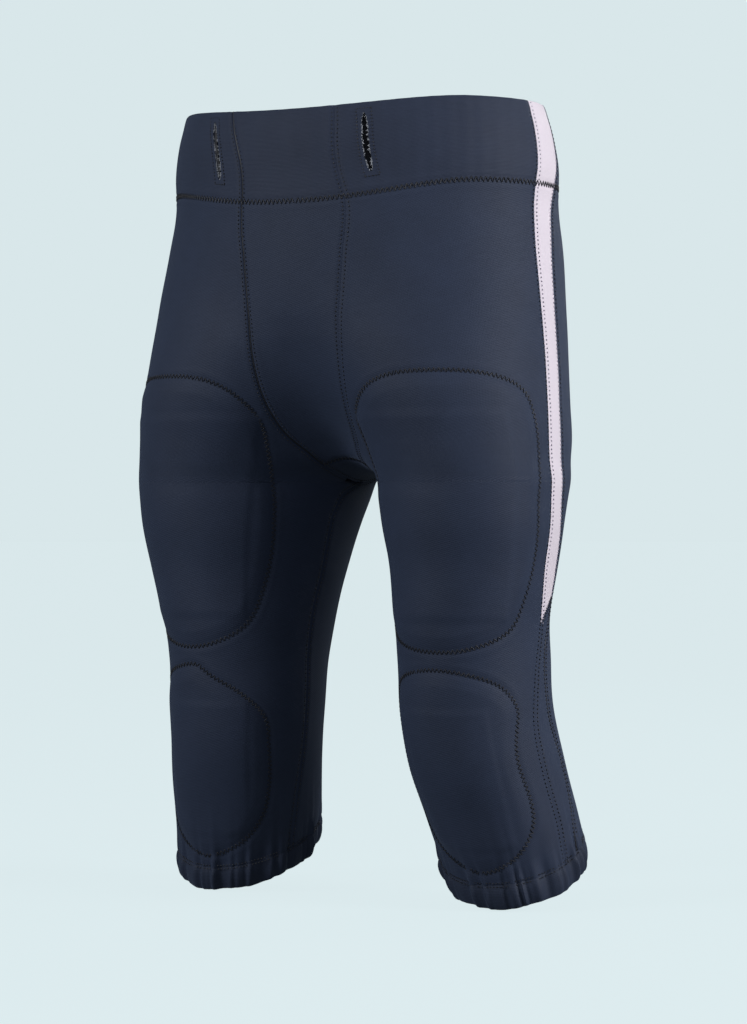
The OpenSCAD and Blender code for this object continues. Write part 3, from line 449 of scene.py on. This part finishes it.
def band_piece(name, node, cols, mat, keep=None, t=1.5):
    """cols: list of (x sign, angle function of level) from left to right"""
    P = np.stack([flip(surf(f(bz), bz), s) for s, f in cols], 1); Z = bz[:, None] + 0 * P[..., 0]
    N = normal(P); h = band_relief(P, Z)
    edge = np.clip((-bz[:, None]) / 1.6, 0, 1); rnd = .9 * (1 - np.sqrt(np.maximum(1 - (1 - edge) ** 2, 0)))
    O = P + N * (h - rnd)[..., None]; I = P - N * (1.5 - .5 * rnd)[..., None]
    o, dims = slab2(name, O, I, mat, keep=keep)
    return declare(o, node, dims)
def mixf(f, g, u): return lambda z: f(z) * (1 - u) + g(z) * u
for sd, nm in ((1, "left"), (-1, "right")):
    fF = lambda z, sd=sd: a_front(z, sd); fS = lambda z: a_side(SF, z)
    rg = np.random.default_rng(11 + sd); jit = [rg.normal(0, .16, len(bz)) for _ in range(2)]
    e1 = lambda z, sd=sd, j=jit[0]: across(np.abs(slot_x(z, sd) - slot_half(z) + j * (np.abs(z - SLZ) < 20)), z)
    e2 = lambda z, sd=sd, j=jit[1]: across(np.abs(slot_x(z, sd) + slot_half(z) + j * (np.abs(z - SLZ) < 20)), z)
    u1 = fine(24, core)[:]; u2 = fine(95, core)
    cols = [(sd, mixf(fF, e1, u)) for u in u1] + [(sd, mixf(e2, fS, u)) for u in u2]
    ns = len(u1) - 1
    if sd < 0: cols = cols[::-1]
    C = len(cols); keep = np.ones((len(bz) - 1, C - 1), bool)
    zc = (bz[1:] + bz[:-1]) / 2; hole = np.abs(zc - SLZ) < SLH / 2
    keep[hole, (ns if sd > 0 else C - 2 - ns)] = False
    band_piece("waistband_cloth_front_" + nm, "waistband_front_" + nm, cols, NAVY_BAND, keep)
    cols = [(sd, mixf(fS, lambda z: a_side(SB, z), u)) for u in fine(34, core)]
    band_piece("waistband_stripe_cloth_" + nm, "waistband_stripe_" + nm, cols if sd > 0 else cols[::-1], WHITE)
def xa(x): return (1 if x >= 0 else -1, lambda z: across(np.full(z.shape, abs(x)), z))
def cen(u):
    def g(z):
        x = (2 * u - 1) * tab(CW, z) + lin(LEAN, z); return x
    return g
cols = []
uc = fine(92, core)
Pc = []
for z0 in bz:
    x = (2 * uc - 1) * float(tab(CW, np.array(z0))) + float(lin(LEAN, z0)); q = surf(across(np.abs(x), np.full(x.shape, z0)), np.full(x.shape, z0)); q[:, 0] *= np.where(x < 0, -1, 1); Pc.append(q)
P = np.array(Pc); Z = bz[:, None] + 0 * P[..., 0]; N = normal(P); h = band_relief(P, Z)
edge = np.clip((-bz[:, None]) / 1.6, 0, 1); rnd = .9 * (1 - np.sqrt(np.maximum(1 - (1 - edge) ** 2, 0)))
o, dims = slab2("waistband_cloth_center", P + N * (h - rnd)[..., None], P - N * (1.5 - .5 * rnd)[..., None], NAVY_BAND); declare(o, "waistband_front_center", dims)
ub = fine(330, core * 1.2)
cols = [((1, mixf(lambda z: a_side(SB, z), lambda z: 90 + 0 * z, 2 * u)) if u <= .5 else (-1, mixf(lambda z: a_side(SB, z), lambda z: 90 + 0 * z, 2 - 2 * u))) for u in ub]
band_piece("waistband_cloth_back", "waistband_back", cols, NAVY_BAND)

def hoop(name, node, d0, d1, za, zb, mat, nz=26, sw=4.2, fold=0.0, holed=True):
    zs = np.linspace(za, zb, nz); zs = np.unique(np.r_[zs, SLZ - SLH / 2, SLZ + SLH / 2])[::-1]
    cols = []; holes = []
    for sd in (1, -1):
        e1 = lambda z, sd=sd: across(np.abs(slot_x(z, sd) - sd * 0 - slot_half(z, sw)), z)
        e2 = lambda z, sd=sd: across(np.abs(slot_x(z, sd) + slot_half(z, sw)), z)
        c0 = lambda z: -90 + 0 * z; c1 = lambda z: 90 + 0 * z
        half = [(sd, mixf(c0, e1, u)) for u in np.linspace(0, 1, 24)] + [(sd, mixf(e2, c1, u)) for u in np.linspace(0, 1, 120)]
        if sd > 0: cols += half; holes.append(23)
        else: half = half[::-1][1:-1]; base = len(cols); cols += half; holes.append(base + 118)
    P = np.stack([flip(surf(f(zs), zs), s) for s, f in cols], 1); N = normal(P)
    keep = np.ones((len(zs) - 1, P.shape[1]), bool); zc = (zs[1:] + zs[:-1]) / 2; hole = np.abs(zc - SLZ) < SLH / 2
    for k in holes:
        if holed: keep[hole, k] = False
    R = zs[:, None]; dd = d0 + 0 * R
    if fold: dd = d0 - fold * np.exp(-((R - za) / 1.2) ** 2)
    o, (w, L, area) = slab2(name, P - N * dd[..., None], P - N * d1, mat, keep=keep, wrap=True)
    return declare(o, node, (w, L, area))
hoop("waist_elastic_band", "waist_elastic", 2.4, 3.9, -6, -57, ELAST)
hoop("waistband_lining_cloth", "waistband_lining", 4.4, 5.4, -.6, -63, NAVY_INNER_SHADED, fold=2.6, holed=False)

# facing patches behind the slots, with the slit's frayed yarns
def patch_pt(x, z0, sd):
    x = np.asarray(x, float); z0 = np.asarray(z0, float); x, z0 = np.broadcast_arrays(x, z0)
    return flip(surf(across(np.abs(x), z0), z0), sd)
def tubes(name, segs, mat, node=None, body="garment"):
    """segs: list of (points k x 3, radii k) thin yarns, 5-sided with pointed ends"""
    V, Fc, base = [], [], 0; M = 5
    for pts, rr in segs:
        pts = np.asarray(pts, float); k = len(pts); t = np.gradient(pts, axis=0); t /= np.linalg.norm(t, axis=1, keepdims=True) + 1e-9
        up = np.array([.3, .5, .81]); u = np.cross(t, up); u /= np.linalg.norm(u, axis=1, keepdims=True) + 1e-9; w = np.cross(t, u)
        an = np.arange(M) * 2 * np.pi / M
        ring = pts[:, None] + (u[:, None] * np.cos(an)[None, :, None] + w[:, None] * np.sin(an)[None, :, None]) * np.asarray(rr)[:, None, None]
        V.append(ring.reshape(-1, 3)); j = np.arange(M); jn = (j + 1) % M
        for i in range(k - 1):
            a = base + i * M
            Fc.append(np.stack([a + j, a + jn, a + M + jn, a + M + j], 1))
        # caps as fans on a centre point
        c0, c1 = base + k * M, base + k * M + 1
        V.append(np.stack([pts[0] - t[0] * rr[0] * .6, pts[-1] + t[-1] * rr[-1] * .6]))
        Fc.append(("cap", np.stack([np.full(M, c0), base + jn, base + j], 1))); Fc.append(("cap", np.stack([np.full(M, c1), base + (k - 1) * M + j, base + (k - 1) * M + jn], 1)))
        base += k * M + 2
    V = np.concatenate(V)
    q = np.concatenate([f for f in Fc if not isinstance(f, tuple)]); t3 = np.concatenate([f[1] for f in Fc if isinstance(f, tuple)])
    q2 = np.concatenate([q[:, [0, 1, 2]], q[:, [0, 2, 3]], t3])[:, ::-1]
    o = new_obj(name, V, q2, None, mat)
    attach(o, body)
    if node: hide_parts(node)
    return o
for sd, nm in ((1, "left"), (-1, "right")):
    zs = np.linspace(SLZ + 25, SLZ - 25, 44); zs = np.unique(np.r_[zs, SLZ - SLH / 2, SLZ + SLH / 2])[::-1]
    rg = np.random.default_rng(21 + sd); j1, j2 = rg.normal(0, .22, len(zs)), rg.normal(0, .22, len(zs))
    xs = slot_x(zs, sd); hf = slot_half(zs, 2.25)
    L = np.stack([xs - hf + j1 - k for k in (5.2, 3.9, 2.6, 1.4, .6, 0)], 1); R = np.stack([xs + hf + j2 + k for k in (0, .6, 1.4, 2.6, 3.9, 5.2)], 1)
    X = np.concatenate([L, R], 1); P = patch_pt(X, zs[:, None] + 0 * X, sd)
    if sd < 0: P = P[:, ::-1]
    N = normal(P); keep = np.ones((len(zs) - 1, P.shape[1] - 1), bool); zc = (zs[1:] + zs[:-1]) / 2; keep[np.abs(zc - SLZ) < SLH / 2, 5] = False
    prof = np.array([1.55, 1.55, 1.5, 1.35, .95, .55]); prof = np.r_[prof, prof[::-1]]
    inr = np.abs(zs - SLZ) < SLH / 2 + .5; dep = np.where(inr[:, None], prof[None, :], 1.55)
    o, dims = slab2("belt_slot_facing_cloth_" + nm, P - N * dep[..., None], P - N * (dep + .35)[..., None], FACING, keep=keep)
    declare(o, "belt_slot_facing_" + nm, dims)
    segs = []
    for k in range(130):
        z0 = SLZ + rg.uniform(-.5, .5) * (SLH - 1); side = rg.choice([-1, 1]); hx = float(slot_half(z0, 2.5)); x0 = float(slot_x(z0, sd)) + side * (hx + rg.uniform(-.1, .5))
        ln = rg.uniform(.9, 2.5); dx = -side * ln * rg.uniform(.15, .8); dz = ln * rg.uniform(-.9, .9); d0 = rg.uniform(.1, .9); lift = rg.uniform(-.3, 1.1)
        u = np.linspace(0, 1, 4); q = patch_pt(x0 + dx * u + .25 * np.sin(u * 5 + k) * side, z0 + dz * u, sd); nn = normal(q)
        segs.append((q + nn * (-d0 + (lift + d0) * u ** 1.4 * .9)[:, None], np.array([.26, .30, .24, .10])))
    tubes("slot_frayed_yarn_" + nm, segs, FRAY)

# ------------------------------------------------------------------ hems: folded casing and its elastic
def hem_ring(name, node, prof, mat, sd, n=330, own=None):
    a = np.arange(n) * 360.0 / n; A = a[None, :] - 180.0
    pts = []
    for (d, z0, gw) in prof:
        AA = A + 0 * np.zeros((1, n)); P = surf(AA[0], np.full(n, float(z0))); pts.append((P, d, gw, np.full(n, float(z0))))
    P = np.stack([p[0] for p in pts]); Z = np.stack([p[3] for p in pts]); D = np.array([p[1] for p in pts])[:, None]; G = np.array([p[2] for p in pts])[:, None]
    Ag = np.repeat(A, len(prof), 0); g = gather(Ag, sd)
    P = flip(P, sd); N = normal(P)
    V = P + N * (-D + G * 1.48 * g)[..., None]
    low = np.array([sm((CAS - p[1]) / 20.0) for p in prof])[:, None]
    V[..., 2] += low * (.6 * np.sin(np.radians(Ag) * 7 + ph[12]) + .25 * g)
    R = len(prof); idx = np.arange(R * n).reshape(R, n); nx = np.roll(idx, -1, 1); dn = np.roll(idx, -1, 0); dnx = np.roll(nx, -1, 0)
    Fc = np.stack([idx.ravel(), dn.ravel(), dnx.ravel(), nx.ravel()], 1)
    if sd < 0: Fc = Fc[:, ::-1]
    s = np.r_[0, np.cumsum(np.linalg.norm(np.diff(V[0], axis=0), axis=1))]; circ = s[-1] + np.linalg.norm(V[0, 0] - V[0, -1])
    vv = np.r_[0, np.cumsum(np.linalg.norm(np.diff(V[:, 0], axis=0), axis=1))]
    uv = np.stack([np.repeat(s[None], R, 0), -np.repeat(vv[:, None], n, 1)], -1).reshape(-1, 2)
    o = new_obj(name, V.reshape(-1, 3), Fc, uv, mat)
    A4 = np.linalg.norm(np.cross(V - np.roll(V, -1, 1), V - np.roll(V, -1, 0)), axis=-1).sum() / 2 * 1e-6
    return declare(o, node, (circ * .001, A4 / (circ * .001) , A4))
for sd, nm in ((1, "left"), (-1, "right")):
    c = CAS
    prof = [(.75, c, 1.6), (.35, c - .5, 1.65), (.05, c - 1.2, 1.7), (-.35, c - 2.4, 1.8), (-.8, c - 4.2, 2.0), (-1.1, c - 6.2, 2.1), (-1.2, c - 8.4, 2.15), (-1.15, c - 10.6, 2.15), (-1.0, c - 12.6, 2.1),
            (-.7, c - 14.5, 2.0), (-.3, c - 16.4, 1.9), (.2, c - 18, 1.6), (.8, HEM + .8, 1.35), (1.5, HEM + .2, 1.3), (2.3, HEM, 1.3), (3.3, HEM + .2, 1.3), (4.1, HEM + .9, 1.3), (4.6, HEM + 2.2, 1.4), (4.8, HEM + 5, 1.3), (4.9, c - 5, 1.2), (4.9, c - .5, 1.1),
            (4.2, c - .5, 1.1), (4.2, c - 5, 1.2), (4.1, HEM + 5, 1.3), (3.7, HEM + 2.4, 1.4), (2.3, HEM + 1.4, 1.5), (1.2, HEM + 2.6, 1.7), (.3, c - 14, 1.9), (.1, c - 8, 2.0), (.6, c - 3, 1.7), (1.75, c - .1, 1.5)]
    hem_ring("hem_casing_cloth_" + nm, "hem_casing_" + nm, prof, HEM_NAVY_SHADED, sd)
    za, zb = c - 2.5, HEM + 4
    prof = [(2.1, za, 1.4), (2.0, (za + zb) / 2, 1.5), (2.1, zb, 1.4), (2.3, zb - .5, 1.4), (3.0, zb - .5, 1.3), (3.2, zb, 1.3), (3.2, (za + zb) / 2, 1.25), (3.2, za, 1.2), (3.0, za + .4, 1.2), (2.3, za + .4, 1.3)]
    hem_ring("hem_elastic_band_" + nm, "hem_elastic_" + nm, prof, ELAST, sd, 200)

# ------------------------------------------------------------------ pocket plies and pads
def ply(name, node, TL, TM, zt, zb, deep, sd):
    v = fine(abs(zt - zb), 2.5, edge=.8)[:, None]; u = fine(150, 2.5, edge=.8)[None, :]
    z0 = zt + (zb - zt) * v + 0 * u; a = tab(TM, z0) * (1 - u) + tab(TL, z0) * u
    m = sm(np.minimum(u, 1 - u) / .13) * sm((1 - v) / .12); P = surf(a, z0)
    wob = .35 * np.sin(a / 7 + v * 9) * m
    d = 2.1 + (deep - 2.1) * m + wob
    if sd < 0: P = flip(P, -1)[:, ::-1]; d = d[:, ::-1]
    N = normal(P); o, dims = slab2(name, P - N * d[..., None], P - N * (d + 1)[..., None], NAVY_INNER_SHADED); return declare(o, node, dims)
def pad(name, node, body, zc, zh, ac, ah, d, t, sd):
    n, m = 64, 56; v = np.linspace(-1, 1, n)[:, None]; j = np.linspace(-1, 1, m)[None, :]
    v = np.sign(v) * (1 - (1 - np.abs(v)) ** 1.35); j = np.sign(j) * (1 - (1 - np.abs(j)) ** 1.35)
    w = (1 - (np.abs(v) * .93) ** 4) ** .5; z0 = zc - v * zh + 0 * j; a = ac + j * w * ah; P = surf(a, z0)
    e = np.maximum(np.abs(v), np.abs(j)); hf = t / 2 * np.sqrt(np.maximum(1 - e ** 9, .012))
    if sd < 0: P = flip(P, -1)[:, ::-1]; hf = hf[:, ::-1]
    N = normal(P); c = d + t / 2
    o, dims = slab2(name, P - N * (c - hf)[..., None], P - N * (c + hf)[..., None], FOAM)
    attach(o, body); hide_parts(node); return o
for sd, nm in ((1, "left"), (-1, "right")):
    ply("thigh_pocket_ply_" + nm, "thigh_pocket_" + nm, TPL, TPM, -214, -419, 18.5, sd)
    ply("knee_pocket_ply_" + nm, "knee_pocket_" + nm, KPL, KPM, -440, -566, 13.5, sd)
    pad("thigh_pad_foam_" + nm, "thigh_pad_" + nm, "thigh_pad_" + nm, -318, 68, -78, 32, 5.6, 7.0, sd)
    pad("knee_pad_foam_" + nm, "knee_pad_" + nm, "knee_pad_" + nm, -507, 40, -87, 30, 4.2, 6.0, sd)

# ------------------------------------------------------------------ stitching
def on_line(L, step, phase=0.0):
    """evenly spaced points, tangents and normals along a surface line"""
    L = np.asarray(L, float); d = np.r_[0, np.cumsum(np.linalg.norm(np.diff(L, axis=0), axis=1))]
    s = np.arange(phase, d[-1], step); P = np.stack([np.interp(s, d, L[:, k]) for k in range(3)], 1)
    Q = np.stack([np.interp(s + .6, d, L[:, k]) for k in range(3)], 1) - np.stack([np.interp(s - .6, d, L[:, k]) for k in range(3)], 1)
    t = Q / (np.linalg.norm(Q, axis=1, keepdims=True) + 1e-9); n = normal(P); b = np.cross(n, t); b /= np.linalg.norm(b, axis=1, keepdims=True)
    return P, t, n, b
def h_at(k, d):
    """height of the cloth at a distance from a seam or a stitched outline"""
    if k == "none": return .38
    if k == "seam": return -.32 * np.exp(-(d / 1.5) ** 2) + .2 * np.exp(-((d - 4.2) / 2.2) ** 2)
    return -.28 * np.exp(-(d / 2.4) ** 2) + .2 * np.exp(-((d - 5) / 2.4) ** 2) + .12
def dashes(L, off, pitch=3.2, length=1.15, r=.46, k="seam", phase=0.0, base=0.0, seed=0):
    P, t, n, b = on_line(L, pitch, phase); rg = np.random.default_rng(seed); out = []
    h = h_at(k, abs(off)) + base
    u = np.linspace(-.5, .5, 5)[:, None]
    for i in range(len(P)):
        if i < 1 and phase == 0: continue
        ln = length * rg.uniform(.85, 1.12); o = off + rg.normal(0, .06)
        wob = .45 * noise(P[i], 95.0) if base == 0 else 0
        c = P[i] + b[i] * o + n[i] * (h + wob * BODYW(P[i]) + .24)
        pts = c + t[i] * (u * ln) - n[i] * (.30 * (2 * u) ** 2) + b[i] * rg.normal(0, .05) * u
        out.append((pts, np.array([.55, .95, 1, .95, .55]) * r))
    return out
def BODYW(p): return float(sm((-p[2] - 60) / 60))
def zigzag(L, amp, pitch, r=.38, k="zig", base=0.0, seed=0):
    """one thread laid side to side across the line, tucked in at each needle hole"""
    P, t, n, b = on_line(L, pitch / 2); rg = np.random.default_rng(seed); out = []
    for i in range(len(P) - 1):
        s = 1 if i % 2 else -1
        a0 = P[i] + b[i] * amp * s * rg.uniform(.9, 1.08); a1 = P[i + 1] - b[i + 1] * amp * s * rg.uniform(.9, 1.08)
        u = np.linspace(0, 1, 5)[:, None]; q = a0 * (1 - u) + a1 * u
        dd = np.abs(amp * (1 - 2 * u[:, 0])); w = .45 * noise(P[i], 95.0) * BODYW(P[i])
        h = h_at(k, dd) + .32 + w + base; h[0] -= .3; h[-1] -= .3
        out.append((q + n[i] * h[:, None], np.array([.7, 1, 1, 1, .7]) * r))
    return out
for sd, nm in ((1, "left"), (-1, "right")):
    S, WS = [], []
    for j, (ln, off) in enumerate((("crotch_", 2.5), ("gusset_", 2.5), ("inseam_", 2.4), ("stripe_front_", 2.5), ("stripe_back_", 2.5), ("insert_front_", 2.5), ("insert_back_", 2.5))):
        for o in (-off, off):
            row = dashes(seams[ln + nm], o, seed=j * 7 + int(o > 0), phase=1.2 + .5 * (o > 0))
            on_white = (ln == "stripe_front_" and o * sd > 0) or (ln == "stripe_back_" and o * sd < 0)
            if on_white: WS.extend(row)
            else: S += row
    for o in (-2.2, 2.2): S += dashes(seams["band_front_" + nm], o, seed=90, phase=3)
    for o in (-1.7, 1.7): S += dashes(seams["stripe_end_" + nm], o, pitch=2.4, seed=91)
    # near-black tubes laid along the deep seam grooves: a painted shadow line of the seam folds, drawn with the thread
    # material
    deep = [("insert_back_", -.75)] + ([("crotch_", -1.0), ("band_front_", -1.0)] if sd < 0 else [])
    for ln, dz in deep:
        P, t, n, b = on_line(seams[ln + nm], 2.0); w = np.array([.45 * noise(p, 95.0) * BODYW(p) for p in P])
        S.append((P + n * (dz + w)[:, None], np.full(len(P), .62)))
    tubes("seam_stitching_and_shadow_line_" + nm, S, THREAD); tubes("stripe_stitching_" + nm, WS, LIGHT_THREAD)
    S = zigzag(zigs["thigh_" + nm][2], 1.8, 3.7, r=.33, seed=3); S += zigzag(zigs["knee_" + nm][2], 1.7, 3.6, r=.33, seed=4)
    tubes("pocket_stitching_" + nm, S, THREAD)
    # hem: two rows over the top edge of the casing
    hl = L_az(lambda z: z, 0, 1, sd, 4) if False else flip(surf(np.linspace(-180, 180, 500), np.full(500, CAS)), sd)
    g = None
    S = []
    for o in (-1.5, 1.5):
        for seg in dashes(hl, o * sd, pitch=2.6, seed=50 + int(o), base=.35, k="seam"): S.append(seg)
    tubes("hem_stitching_" + nm, S, THREAD)
    # frame sewn round the belt slot
    A = []
    for (x0, z0), (x1, z1) in (((-5.6, 24), (5.6, 24)), ((5.6, 24), (5.6, -24)), ((5.6, -24), (-5.6, -24)), ((-5.6, -24), (-5.6, 24))):
        n_ = 40; u = np.linspace(0, 1, n_); zz_ = SLZ + z0 * (1 - u) + z1 * u; xx = slot_x(zz_, sd) + x0 * (1 - u) + x1 * u
        A.append(patch_pt(xx, zz_, sd))
    S = []
    for L in A: S += dashes(L, 0.0, pitch=2.6, length=1.0, r=.46, k="none", phase=.8, base=-.02, seed=5)
    tubes("slot_frame_stitching_" + nm, S, THREAD)
S = zigzag(band_line, 2.1, 3.8, r=.36, k="seam", base=.02, seed=8)
tubes("waist_coverstitch", S, THREAD)
S = zigzag(cross_line, 1.8, 3.2, r=.34, k="seam", seed=9) + dashes(seams["back_rise"], 2.4, seed=33, phase=2) + dashes(seams["back_rise"], -2.4, seed=34, phase=2)
tubes("crotch_stitching", S, THREAD)

# ------------------------------------------------------------------ stage, light and camera
scene = bpy.context.scene
scene.view_settings.view_transform = "Standard"
BG = rgb(217, 231, 234)
def stage_mat():
    m = bpy.data.materials.new("studio_paper"); m.use_nodes = True; nt = m.node_tree; N = nt.nodes; Lk = nt.links.new
    for n in list(N): N.remove(n)
    out = N.new("ShaderNodeOutputMaterial"); em = N.new("ShaderNodeEmission"); em.inputs["Color"].default_value = BG
    df = N.new("ShaderNodeBsdfDiffuse"); df.inputs["Color"].default_value = BG
    t = N.new("ShaderNodeTexCoord"); ns = N.new("ShaderNodeTexNoise"); ns.inputs["Scale"].default_value = 40; Lk(t.outputs["Object"], ns.inputs[0])
    bp = N.new("ShaderNodeBump"); bp.inputs["Strength"].default_value = .03; Lk(ns.outputs["Fac"], bp.inputs["Height"]); Lk(bp.outputs[0], df.inputs["Normal"])
    mx = N.new("ShaderNodeMixShader"); mx.inputs["Fac"].default_value = .06; lp = N.new("ShaderNodeLightPath"); ms = N.new("ShaderNodeMapRange"); ms.inputs["To Min"].default_value = .10; ms.inputs["To Max"].default_value = 1.0638; Lk(lp.outputs["Is Camera Ray"], ms.inputs[0]); Lk(ms.outputs[0], em.inputs["Strength"]); Lk(em.outputs[0], mx.inputs[1]); Lk(df.outputs[0], mx.inputs[2]); Lk(mx.outputs[0], out.inputs[0])
    return m
# a wide plain floor
FLOOR = float(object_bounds()[0][2]) - .0015
az = math.radians(30); fwd = np.array([-math.sin(az), math.cos(az), 0]); rgt = np.array([math.cos(az), math.sin(az), 0])
k_ = 48; rr_ = np.array([0.0, .5, 1, 2, 4, 8, 16, 30]); V = [(0.0, 0.0, FLOOR)] + [(r * math.cos(a), r * math.sin(a), FLOOR) for r in rr_[1:] for a in np.arange(k_) * 2 * math.pi / k_]
Fc = [(0, 1 + i, 1 + (i + 1) % k_) for i in range(k_)] + [(1 + q * k_ + i, 1 + (q + 1) * k_ + i, 1 + (q + 1) * k_ + (i + 1) % k_, 1 + q * k_ + (i + 1) % k_) for q in range(len(rr_) - 2) for i in range(k_)]
floor = new_obj("studio_floor", np.array(V) * 1000, Fc, None, stage_mat())
w = bpy.data.worlds.new("studio"); scene.world = w; w.use_nodes = True
wn = w.node_tree.nodes; wl = w.node_tree.links.new; b1 = wn["Background"]; b1.inputs[0].default_value = (.80, .88, .92, 1); b1.inputs[1].default_value = .13
b2 = wn.new("ShaderNodeBackground"); b2.inputs[0].default_value = BG; b2.inputs[1].default_value = 1.0
lp = wn.new("ShaderNodeLightPath"); mxw = wn.new("ShaderNodeMixShader"); wl(lp.outputs["Is Camera Ray"], mxw.inputs[0]); wl(b1.outputs[0], mxw.inputs[1]); wl(b2.outputs[0], mxw.inputs[2]); wl(mxw.outputs[0], wn["World Output"].inputs[0])
def area(name, loc, target, size, energy, col=(1, 1, 1)):
    l = bpy.data.lights.new(name, "AREA"); l.shape = "DISK"; l.size = size; l.energy = energy; l.color = col
    o = bpy.data.objects.new(name, l); scene.collection.objects.link(o); o.location = loc
    o.rotation_euler = (Vector(target) - Vector(loc)).to_track_quat("-Z", "Y").to_euler(); return o
area("right", (2.75, .15, .55), (0, 0, -.3), 1.2, 66)
area("left", (-1.5, -2.5, .75), (0, 0, -.3), 1.3, 44, (.96, .98, 1))
area("front", (1.5, -2.6, 1.0), (0, 0, -.3), 1.4, 12, (.96, .98, 1))
area("rim", (.6, 2.4, .9), (0, 0, -.2), 1.2, 10)
cam = bpy.data.cameras.new("camera"); cam.sensor_fit = "AUTO"; cam.sensor_width = 36; cam.lens = 110.97; cam.clip_start = .05; cam.clip_end = 60; cam.dof.use_dof = False
co = bpy.data.objects.new("camera", cam); scene.collection.objects.link(co); co.location = (1.2552, -2.1621, -.315)
co.rotation_euler = Vector(tuple(fwd)).to_track_quat("-Z", "Y").to_euler(); scene.camera = co

# the CAD nodes that are left showing: none; every one is replaced by a sewn piece
print("SHEETS", [(a, b) for a, b, c in sheets])
